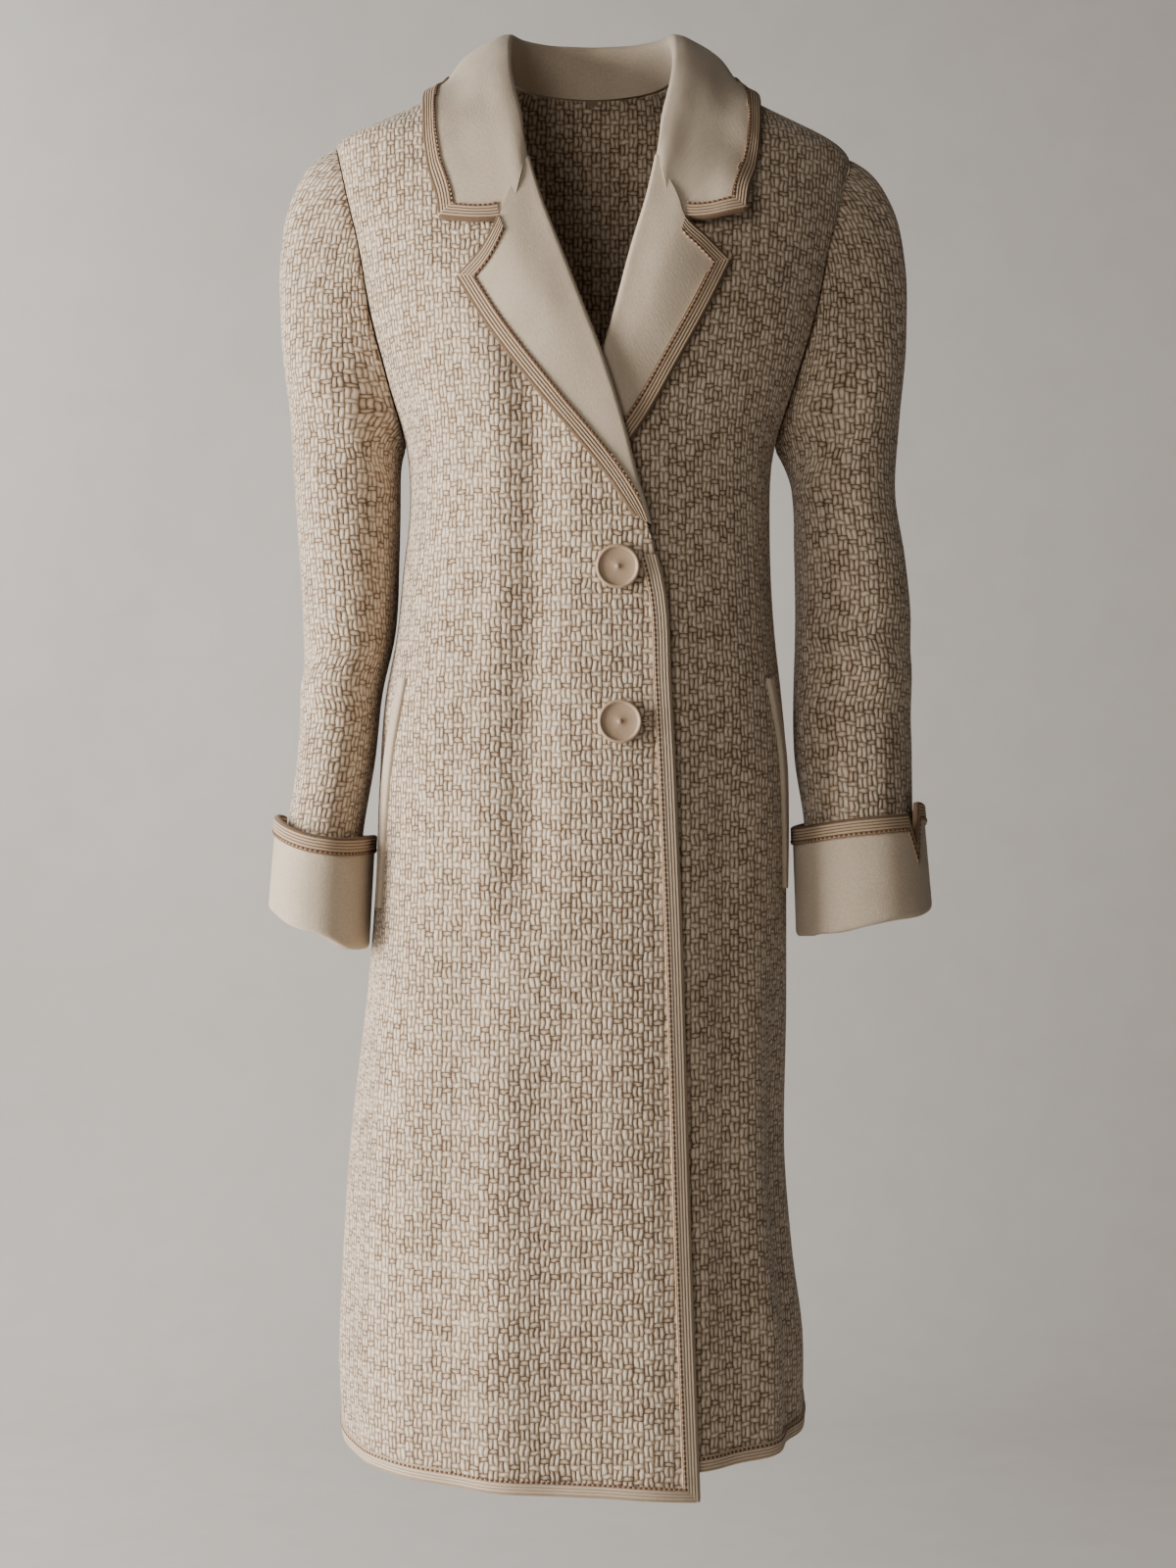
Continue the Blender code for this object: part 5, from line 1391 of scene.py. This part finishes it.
def seat_frame(x, z, out):
    """Point on the form with its outward, sideways and upward directions."""
    angle = angle_at(np.array(x), np.array(z))
    normal = form_normal(angle, np.array(z))
    seat = surface(angle, np.array(z), np.array(out))
    side = unit(np.cross(UP, normal))
    return seat, normal, side, np.cross(normal, side)


def turned(name, frame_of, profile, radius, height, looks_list, around=BUTTON_AROUND):
    """Closed turned body from a profile of (radius, height) shares."""
    seat, normal, side, up = frame_of
    points, faces = [seat + normal * profile[0][1] * height], []
    rings = profile[1:-1]
    for r, h in rings:
        for k in range(around):
            t = 2 * math.pi * k / around
            flat = side * math.cos(t) + up * math.sin(t)
            points.append(seat + flat * r * radius + normal * h * height)
    points.append(seat + normal * profile[-1][1] * height)
    for k in range(around):
        n = (k + 1) % around
        faces.append([0, 1 + n, 1 + k])
        for r in range(len(rings) - 1):
            a, b = 1 + r * around, 1 + (r + 1) * around
            faces.append([a + k, a + n, b + n, b + k])
        last = 1 + (len(rings) - 1) * around
        faces.append([last + k, last + n, len(points) - 1])
    uvs = []
    for face in faces:
        for i in face:
            apart = points[i] - seat
            uvs.append((float(np.dot(apart, side)), float(np.dot(apart, up))))
    return fix_outside(build_object(name, points, faces, uvs, looks_list, sharp=40.0))


def make_button(name, x, z, looks):
    return turned("coat_" + name, seat_frame(x, z, SEAM_GAP * 3), BUTTON_PROFILE, BUTTON_RADIUS,
                  BUTTON_HEIGHT, [looks["button"]])


def make_buttonhole(name, x, z, looks):
    """Worked buttonhole that shows beside the button: a thread rim round a flat near-black disc, painted
    shade where the slit opens.
    """
    seat, normal, side, up = seat_frame(x + HOLE_SHIFT, z, 0.0)
    rim, slit = [], []
    steps = 64
    for k in range(steps):
        t = 2 * math.pi * k / steps
        along_hole, across_hole = math.cos(t), math.sin(t)
        place = (seat + side * along_hole * HOLE_HALF
                 + up * across_hole * HOLE_HIGH * (1 - 0.4 * abs(along_hole)))
        outward = unit(side * along_hole * HOLE_HIGH + up * across_hole * HOLE_HALF)
        rim.append((place, outward))
        slit.append(place)
    points, faces, kinds = [], [], []
    for place, outward in rim:
        for m in range(8):
            turn = 2 * math.pi * m / 8
            points.append(place + outward * HOLE_THREAD * math.cos(turn)
                          + normal * (HOLE_THREAD * math.sin(turn) * 0.8 + 0.0004))
    for k in range(steps):
        n = (k + 1) % steps
        for m in range(8):
            q = (m + 1) % 8
            faces.append([k * 8 + m, k * 8 + q, n * 8 + q, n * 8 + m])
            kinds.append(0)
    # The slit: a flat near-black disc, painted shade standing for the shadow inside the opening.
    centre = len(points)
    points.append(seat + normal * 0.0003)
    first = len(points)
    points += [place + normal * 0.0003 for place in slit]
    for k in range(steps):
        faces.append([centre, first + k, first + (k + 1) % steps])
        kinds.append(1)
    return build_object("coat_" + name, points, faces, plain_uvs(faces),
                        [looks["thread_pale"], looks["dark"]], kinds, sharp=80.0)


HOLE_HALF, HOLE_HIGH = 0.0115, 0.0016  # half length and half height of a buttonhole
HOLE_SHIFT = 0.0115                    # how far its middle lies beside the button's centre
HOLE_THREAD = 0.0008

# ---------------------------------------------------------------- materials
PAIR_WIDE = 0.0076        # width of a pair of upright yarns
PAIR_HIGH = 0.0116        # one turn of the weave, up the cloth
OVER_SHARE = 0.66         # share of a turn in which the upright yarns lie on top
WANDER = 0.0040           # how far the yarns wander from their lines
UNEVEN_DROP = 0.40        # how unevenly neighbouring pairs start their turns
YARN_TONE, HEATHER_TONE, FIBRE_TONE = 0.36, 0.45, 0.35   # how much each changes the colour
TONE_MIDDLE, TONE_GAIN = 0.58, 1.15    # taken from their sum, and how much the rest counts
RIB = 0.0023              # one rib of the tape
FACING_THREAD = 0.0011    # one thread of the smooth cloth


class Graph:
    """Small helper that writes a material's nodes as plain expressions."""

    def __init__(self, name):
        self.material = bpy.data.materials.new(name)
        self.material.use_nodes = True
        self.tree = self.material.node_tree
        self.shader = self.tree.nodes["Principled BSDF"]

    def node(self, kind, **settings):
        made = self.tree.nodes.new(kind)
        for key, value in settings.items():
            setattr(made, key, value)
        return made

    def join(self, source, target):
        self.tree.links.new(source, target)

    def feed(self, socket, value):
        if isinstance(value, bpy.types.NodeSocket):
            self.join(value, socket)
        else:
            socket.default_value = value

    def math(self, operation, a, b=0.0):
        made = self.node("ShaderNodeMath", operation=operation)
        self.feed(made.inputs[0], a)
        self.feed(made.inputs[1], b)
        return made.outputs[0]

    def ranged(self, value, low, high, to_low=0.0, to_high=1.0):
        made = self.node("ShaderNodeMapRange", interpolation_type="SMOOTHSTEP")
        for socket, number in zip(made.inputs, (value, low, high, to_low, to_high)):
            self.feed(socket, number)
        return made.outputs[0]

    def noise(self, place, scale, detail=2.0, rough=0.5, sizes=(1.0, 1.0, 1.0)):
        mapping = self.node("ShaderNodeMapping")
        mapping.inputs["Scale"].default_value = sizes
        self.join(place, mapping.inputs["Vector"])
        made = self.node("ShaderNodeTexNoise")
        self.join(mapping.outputs[0], made.inputs["Vector"])
        made.inputs["Scale"].default_value = scale
        made.inputs["Detail"].default_value = detail
        made.inputs["Roughness"].default_value = rough
        return made.outputs[0]

    def grain(self):
        made = self.node("ShaderNodeUVMap", uv_map="grain")
        return made.outputs[0]

    def split(self, vector):
        made = self.node("ShaderNodeSeparateXYZ")
        self.join(vector, made.inputs[0])
        return made.outputs[0], made.outputs[1]

    def vector(self, x, y):
        made = self.node("ShaderNodeCombineXYZ")
        self.feed(made.inputs[0], x)
        self.feed(made.inputs[1], y)
        return made.outputs[0]

    def random(self, x, y):
        made = self.node("ShaderNodeTexWhiteNoise", noise_dimensions="2D")
        self.join(self.vector(x, y), made.inputs["Vector"])
        return made.outputs[0]

    def ramp(self, value, stops):
        made = self.node("ShaderNodeValToRGB")
        self.join(value, made.inputs[0])
        elements = made.color_ramp.elements
        elements[0].position, elements[0].color = stops[0][0], (*stops[0][1], 1.0)
        elements[1].position, elements[1].color = stops[-1][0], (*stops[-1][1], 1.0)
        for place, colour in stops[1:-1]:
            elements.new(place).color = (*colour, 1.0)
        return made.outputs[0]

    def tint(self, colour, share, dark):
        """Multiplies a colour by a grey going from dark, at share 0, to 1."""
        grey = self.ranged(share, 0.0, 1.0, dark, 1.0)
        made = self.node("ShaderNodeMix", data_type="RGBA", blend_type="MULTIPLY")
        made.inputs[0].default_value = 1.0
        sockets = [s for s in made.inputs if s.type == "RGBA"]
        self.join(colour, sockets[0])
        self.join(grey, sockets[1])
        return [s for s in made.outputs if s.type == "RGBA"][0]

    def bump(self, height, distance, strength=1.0, under=None):
        made = self.node("ShaderNodeBump")
        made.inputs["Strength"].default_value = strength
        made.inputs["Distance"].default_value = distance
        self.join(height, made.inputs["Height"])
        if under is not None:
            self.join(under, made.inputs["Normal"])
        return made.outputs[0]

    def finish(self, colour, normal, roughness, sheen=0.0, sheen_rough=0.5):
        self.feed(self.shader.inputs["Base Color"], colour)
        self.join(normal, self.shader.inputs["Normal"])
        self.shader.inputs["Roughness"].default_value = roughness
        self.shader.inputs["Sheen Weight"].default_value = sheen
        self.shader.inputs["Sheen Roughness"].default_value = sheen_rough
        self.shader.inputs["Specular IOR Level"].default_value = 0.2
        return self.material


def humps(graph, share, power=0.7):
    """Two rounded yarns across a block: 0 between the yarns and 1 on their backs."""
    wave = graph.math("ABSOLUTE", graph.math("SINE", graph.math("MULTIPLY", share, 2 * math.pi)))
    return graph.math("POWER", wave, power)


def arch(graph, share):
    """Rise of a yarn over a block's length, from its dip at one end to the other."""
    return graph.math("ABSOLUTE", graph.math("SINE", graph.math("MULTIPLY", share, math.pi)))


def wool_look():
    """Basket weave of two-yarn blocks, heathered cream to taupe, with painted shade in the gaps between
    the yarns.
    """
    g = Graph("wool_basket_weave")
    uv = g.grain()
    u, v = g.split(uv)
    noise_u = g.noise(uv, 95.0, 2.0)
    wander_u = g.math("MULTIPLY", g.math("SUBTRACT", noise_u, 0.5), WANDER)
    noise_v = g.noise(uv, 80.0, 2.0, sizes=(1.3, 0.8, 1))
    wander_v = g.math("MULTIPLY", g.math("SUBTRACT", noise_v, 0.5), WANDER)
    across = g.math("DIVIDE", g.math("ADD", u, wander_u), PAIR_WIDE)
    pair, share_a = g.math("FLOOR", across), g.math("FRACT", across)
    drop = g.math("ADD", g.math("MULTIPLY", pair, 0.5),
                  g.math("MULTIPLY", g.random(pair, 0.5), UNEVEN_DROP))
    up = g.math("ADD", g.math("DIVIDE", g.math("ADD", v, wander_v), PAIR_HIGH), drop)
    turn, share_b = g.math("FLOOR", up), g.math("FRACT", up)
    over = g.math("LESS_THAN", share_b, OVER_SHARE)
    over_part = g.math("DIVIDE", share_b, OVER_SHARE)
    under_part = g.math("DIVIDE", g.math("SUBTRACT", share_b, OVER_SHARE), 1 - OVER_SHARE)
    upright = g.math("MULTIPLY", humps(g, share_a, 0.85),
                     g.math("ADD", g.math("MULTIPLY", arch(g, over_part), 0.50), 0.50))
    level = g.math("MULTIPLY", g.math("POWER", arch(g, under_part), 0.9),
                   g.math("ADD", g.math("MULTIPLY", arch(g, share_a), 0.80), 0.14))
    mixed = g.node("ShaderNodeMix", data_type="FLOAT")
    g.feed(mixed.inputs[0], over)
    g.feed(mixed.inputs[2], level)
    g.feed(mixed.inputs[3], upright)
    weave = mixed.outputs[0]
    yarn_a = g.math("FLOOR", g.math("MULTIPLY", across, 2.0))
    under = g.math("SUBTRACT", 1.0, over)
    own = g.math("ADD", g.math("MULTIPLY", yarn_a, over), g.math("MULTIPLY", pair, under))
    yarn = g.random(own, g.math("ADD", turn, g.math("MULTIPLY", over, 0.5)))
    fibre = g.noise(uv, 900.0, 3.0, 0.6, sizes=(1.6, 0.7, 1.0))
    heather = g.noise(uv, 260.0, 3.0, 0.65, sizes=(1.0, 0.45, 1.0))
    cloud = g.noise(uv, 9.0, 2.0)
    uneven = g.math("ADD", g.math("MULTIPLY", yarn, YARN_TONE),
                    g.math("MULTIPLY", heather, HEATHER_TONE))
    uneven = g.math("ADD", uneven, g.math("MULTIPLY", fibre, FIBRE_TONE))
    uneven = g.math("SUBTRACT", uneven, TONE_MIDDLE)
    # The weave's height goes into the colour too: the gaps between yarns take the darkest stops, which
    # is painted shade; the yarn, heather and fibre terms are real random tone.
    tone = g.math("ADD", weave, g.math("MULTIPLY", uneven, TONE_GAIN))
    colour = g.ramp(tone, WOOL_AND_GAP_SHADE_STOPS)
    colour = g.tint(colour, g.ranged(cloud, 0.3, 0.7), 0.93)
    height = g.math("ADD", weave, g.math("MULTIPLY", fibre, 0.35))
    height = g.math("ADD", height, g.math("MULTIPLY", yarn, 0.22))
    return g.finish(colour, g.bump(height, 0.0010, 0.9), 0.95, 0.25, 0.6)


# Colour ramp of the wool: cream to taupe yarns, and at the low end a near-black brown, which is painted
# shade in the gaps between yarns.
WOOL_AND_GAP_SHADE_STOPS = ((0.0, (0.085, 0.048, 0.025)), (0.22, (0.25, 0.168, 0.102)), (0.48, (0.445, 0.34, 0.236)),
              (0.75, (0.58, 0.47, 0.352)), (1.0, (0.72, 0.61, 0.485)))


def facing_look(name, colours):
    """Smooth fine wool of collar, lapels and cuffs: faint close threads and a soft nap."""
    g = Graph(name)
    uv = g.grain()
    u, v = g.split(uv)
    warp = humps(g, g.math("FRACT", g.math("DIVIDE", u, 2 * FACING_THREAD)), 0.8)
    weft = humps(g, g.math("FRACT", g.math("DIVIDE", v, 2 * FACING_THREAD)), 0.8)
    threads = g.math("MULTIPLY", warp, weft)
    nap = g.noise(uv, 420.0, 4.0, 0.62)
    blur = g.noise(uv, 28.0, 2.0)
    tone = g.math("ADD", g.math("MULTIPLY", nap, 0.6), g.math("MULTIPLY", threads, 0.22))
    tone = g.math("ADD", tone, g.math("MULTIPLY", blur, 0.35))
    colour = g.ramp(g.ranged(tone, 0.35, 0.95), colours)
    height = g.math("ADD", g.math("MULTIPLY", threads, 0.5), nap)
    return g.finish(colour, g.bump(height, 0.00035, 0.7), 0.9, 0.2, 0.5)


def tape_look(name, colours):
    """Lengthwise ribs across the tape's width, with a fine grain and wear; the grooves between ribs are
    painted darker as painted shade.
    """
    g = Graph(name)
    uv = g.grain()
    u = g.split(uv)[0]
    ribs = g.math("ABSOLUTE", g.math("SINE", g.math("MULTIPLY", u, math.pi / RIB)))
    grain = g.noise(uv, 700.0, 3.0, 0.6, sizes=(1.4, 0.5, 1.0))
    blur = g.noise(uv, 40.0, 2.0)
    # The ribs drive the colour: the grooves between ribs take the darker stops, which is painted shade
    # in the grooves; grain and blotches are random tone.
    tone = g.math("ADD", g.math("MULTIPLY", ribs, 0.7), g.math("MULTIPLY", grain, 0.3))
    tone = g.math("ADD", tone, g.math("MULTIPLY", blur, 0.3))
    colour = g.ramp(g.ranged(tone, 0.25, 1.0), colours)
    height = g.math("ADD", ribs, g.math("MULTIPLY", grain, 0.35))
    return g.finish(colour, g.bump(height, 0.0008, 0.9), 0.85, 0.12, 0.5)


def thread_look(name, colour):
    g = Graph(name)
    place = g.node("ShaderNodeTexCoord").outputs["Object"]
    twist = g.noise(place, 1800.0, 2.0)
    tone = g.ramp(twist, ((0.2, tuple(c * 0.7 for c in colour)), (0.8, tuple(c * 1.25 for c in colour))))
    return g.finish(tone, g.bump(twist, 0.0002, 0.6), 0.75, 0.1, 0.5)


def button_look():
    """Matte tan plastic with faint turning marks and a slightly polished rim."""
    g = Graph("button_tan")
    uv = g.grain()
    u, v = g.split(uv)
    radius = g.math("SQRT", g.math("ADD", g.math("MULTIPLY", u, u), g.math("MULTIPLY", v, v)))
    marks = g.math("SINE", g.math("MULTIPLY", radius, 9000.0))
    speck = g.noise(uv, 500.0, 3.0, 0.6)
    blur = g.noise(uv, 120.0, 2.0)
    tone = g.math("ADD", g.math("MULTIPLY", speck, 0.4), g.math("MULTIPLY", blur, 0.6))
    colour = g.ramp(tone, ((0.3, (0.335, 0.235, 0.155)), (0.7, (0.42, 0.305, 0.21))))
    height = g.math("ADD", g.math("MULTIPLY", marks, 0.2), speck)
    material = g.finish(colour, g.bump(height, 0.00006, 0.5), 0.45)
    g.shader.inputs["Specular IOR Level"].default_value = 0.45
    return material


def make_looks():
    return {
        "wool": wool_look(),
        "facing": facing_look("facing_ivory", FACING_STOPS),
        "tape": tape_look("tape_tan", TAPE_STOPS),
        "tape_pale": tape_look("tape_beige", TAPE_PALE_STOPS),
        "thread": thread_look("thread_brown", (0.135, 0.062, 0.034)),
        "thread_pale": thread_look("thread_beige", (0.42, 0.33, 0.25)),
        # Near-black material of the buttonhole's slit: painted shade.
        "dark": thread_look("slit_painted_shade", (0.03, 0.018, 0.012)),
        "button": button_look(),
    }


FACING_STOPS = ((0.0, (0.44, 0.355, 0.26)), (0.5, (0.53, 0.445, 0.345)), (1.0, (0.61, 0.52, 0.415)))
# Tape colour ramps: their low ends are painted shade in the grooves between ribs.
TAPE_STOPS = ((0.0, (0.13, 0.080, 0.045)), (0.5, (0.32, 0.225, 0.145)), (1.0, (0.48, 0.36, 0.25)))
TAPE_PALE_STOPS = ((0.0, (0.38, 0.28, 0.185)), (0.5, (0.49, 0.38, 0.27)), (1.0, (0.60, 0.485, 0.365)))

# Cut of each sheet: (width, length) in metres, how it is held, what carries it, flat area.
FRONT_CUT = {-1: ((0.45, 1.10), "hung", (), 0.306), 1: ((0.40, 1.10), "hung", (), 0.235)}

# ---------------------------------------------------------------- light, floor and camera
CAMERA_PLACE = (-0.003, -2.1, -0.56)
CAMERA_LENS = 61.36            # millimetres, for a sensor 36 mm high
FLOOR_Z = -1.62
WALL_Y, SWEEP = 2.9, 0.6       # the wall behind, and the radius of its foot
WORLD_STRENGTH = 0.07
# Area lights: name, place, what it points at, width and height, watts, colour.
LIGHTS = (
    ("key", (-2.0, -0.85, -0.45), (0.0, 0.0, -0.62), (0.8, 1.7), 122.0, (1.0, 0.955, 0.90)),
    ("front", (-1.1, -3.0, 0.5), (0.0, 0.0, -0.5), (1.0, 1.4), 27.0, (1.0, 0.935, 0.86)),
    ("wall", (-2.2, 1.9, 0.4), (0.3, 2.9, -0.5), (0.8, 2.0), 36.0, (1.0, 0.975, 0.945)),
    ("behind", (-1.6, 2.3, 0.1), (0.0, 0.0, -0.5), (0.8, 1.4), 22.0, (1.0, 0.965, 0.92)),
)


def make_stage():
    """Plain pale floor running up into a wall behind, as one sweep."""
    profile = [(-4.5, FLOOR_Z), (WALL_Y - SWEEP, FLOOR_Z)]
    for degrees in range(10, 91, 10):
        turn = math.radians(degrees)
        profile.append((WALL_Y - SWEEP * (1 - math.sin(turn)), FLOOR_Z + SWEEP * (1 - math.cos(turn))))
    profile.append((WALL_Y, 3.4))
    points, faces = [], []
    for y, z in profile:
        points += [(-5.0, y, z), (5.0, y, z)]
    for k in range(len(profile) - 1):
        faces.append([2 * k, 2 * k + 1, 2 * k + 3, 2 * k + 2])
    g = Graph("floor_pale")
    place = g.node("ShaderNodeTexCoord").outputs["Object"]
    fine = g.noise(place, 14.0, 3.0)
    colour = g.ramp(fine, ((0.3, (0.62, 0.60, 0.575)), (0.7, (0.645, 0.625, 0.60))))
    material = g.finish(colour, g.bump(fine, 0.001, 0.1), 0.9)
    stage = build_object("floor_and_wall", points, faces, plain_uvs(faces), [material])


def add_light(name, place, target, size, power, colour):
    data = bpy.data.lights.new(name, "AREA")
    data.shape = "RECTANGLE"
    data.size, data.size_y = size
    data.energy = power
    data.color = colour
    lamp = bpy.data.objects.new(name, data)
    bpy.context.scene.collection.objects.link(lamp)
    lamp.location = place
    direction = mathutils.Vector(target) - mathutils.Vector(place)
    lamp.rotation_euler = direction.to_track_quat("-Z", "Y").to_euler()


def make_lights():
    for light in LIGHTS:
        add_light(*light)
    world = bpy.data.worlds.new("studio")
    world.use_nodes = True
    background = world.node_tree.nodes["Background"]
    background.inputs[0].default_value = (1.0, 0.88, 0.76, 1.0)
    background.inputs[1].default_value = WORLD_STRENGTH
    bpy.context.scene.world = world


def make_camera():
    data = bpy.data.cameras.new("photo_camera")
    data.sensor_fit = "VERTICAL"
    data.sensor_height = 36.0
    data.lens = CAMERA_LENS
    camera = bpy.data.objects.new("photo_camera", data)
    camera.location = CAMERA_PLACE
    camera.rotation_euler = (math.pi / 2, 0.0, 0.0)
    bpy.context.scene.collection.objects.link(camera)
    bpy.context.scene.camera = camera

# ---------------------------------------------------------------- putting it together
def place_pieces(pieces, slot, *nodes):
    """Hangs pieces on the part's one body and hides the CAD nodes."""
    for piece in pieces:
        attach(piece, "root")
    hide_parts(*nodes)


def make_coat():
    looks = make_looks()
    for side, name in ((-1, "right"), (1, "left")):
        front, tapes = make_front(side, looks)
        place_pieces([front], "wool_cloth", "front_" + name)
        place_pieces(tapes, "binding_tape", "binding_front_" + name)
        welt = make_welt("welt_" + name, WELT_RIGHT if side < 0 else WELT_LEFT, side, looks)
        place_pieces([welt], "facing_cloth", "welt_" + name)
        held = [*tapes, welt]
        if side < 0:
            for button, (x, z) in BUTTONS.items():
                disc = make_button(button, x, z, looks)
                place_pieces([disc], "button", button)
                hole = make_buttonhole(button.replace("button", "buttonhole"), x, z, looks)
                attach(hole, "root")
                held += [disc, hole]
        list(FRONT_CUT[side])
        sleeve = make_sleeve(side, looks)
        place_pieces([sleeve], "wool_cloth", "sleeve_top_" + name, "sleeve_under_" + name)
        cuff, tapes = make_cuff(side, looks)
        place_pieces([cuff], "facing_cloth", "cuff_" + name)
        place_pieces(tapes, "binding_tape", "binding_cuff_" + name)
        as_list(tapes)
        lapel, tapes = make_lapel(name, looks)
        place_pieces([lapel], "facing_cloth", "lapel_" + name)
        place_pieces(tapes, "binding_tape", "binding_lapel_" + name)
        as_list(tapes)
    back, tapes = make_back(looks)
    place_pieces([back], "wool_cloth", "back")
    place_pieces(tapes, "binding_tape", "binding_back_hem")
    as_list(tapes)
    collar, tapes = make_collar(looks)
    place_pieces([collar], "facing_cloth", "collar")
    place_pieces(tapes, "binding_tape", "binding_collar")
    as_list(tapes)


make_coat()
make_stage()
make_lights()
make_camera()
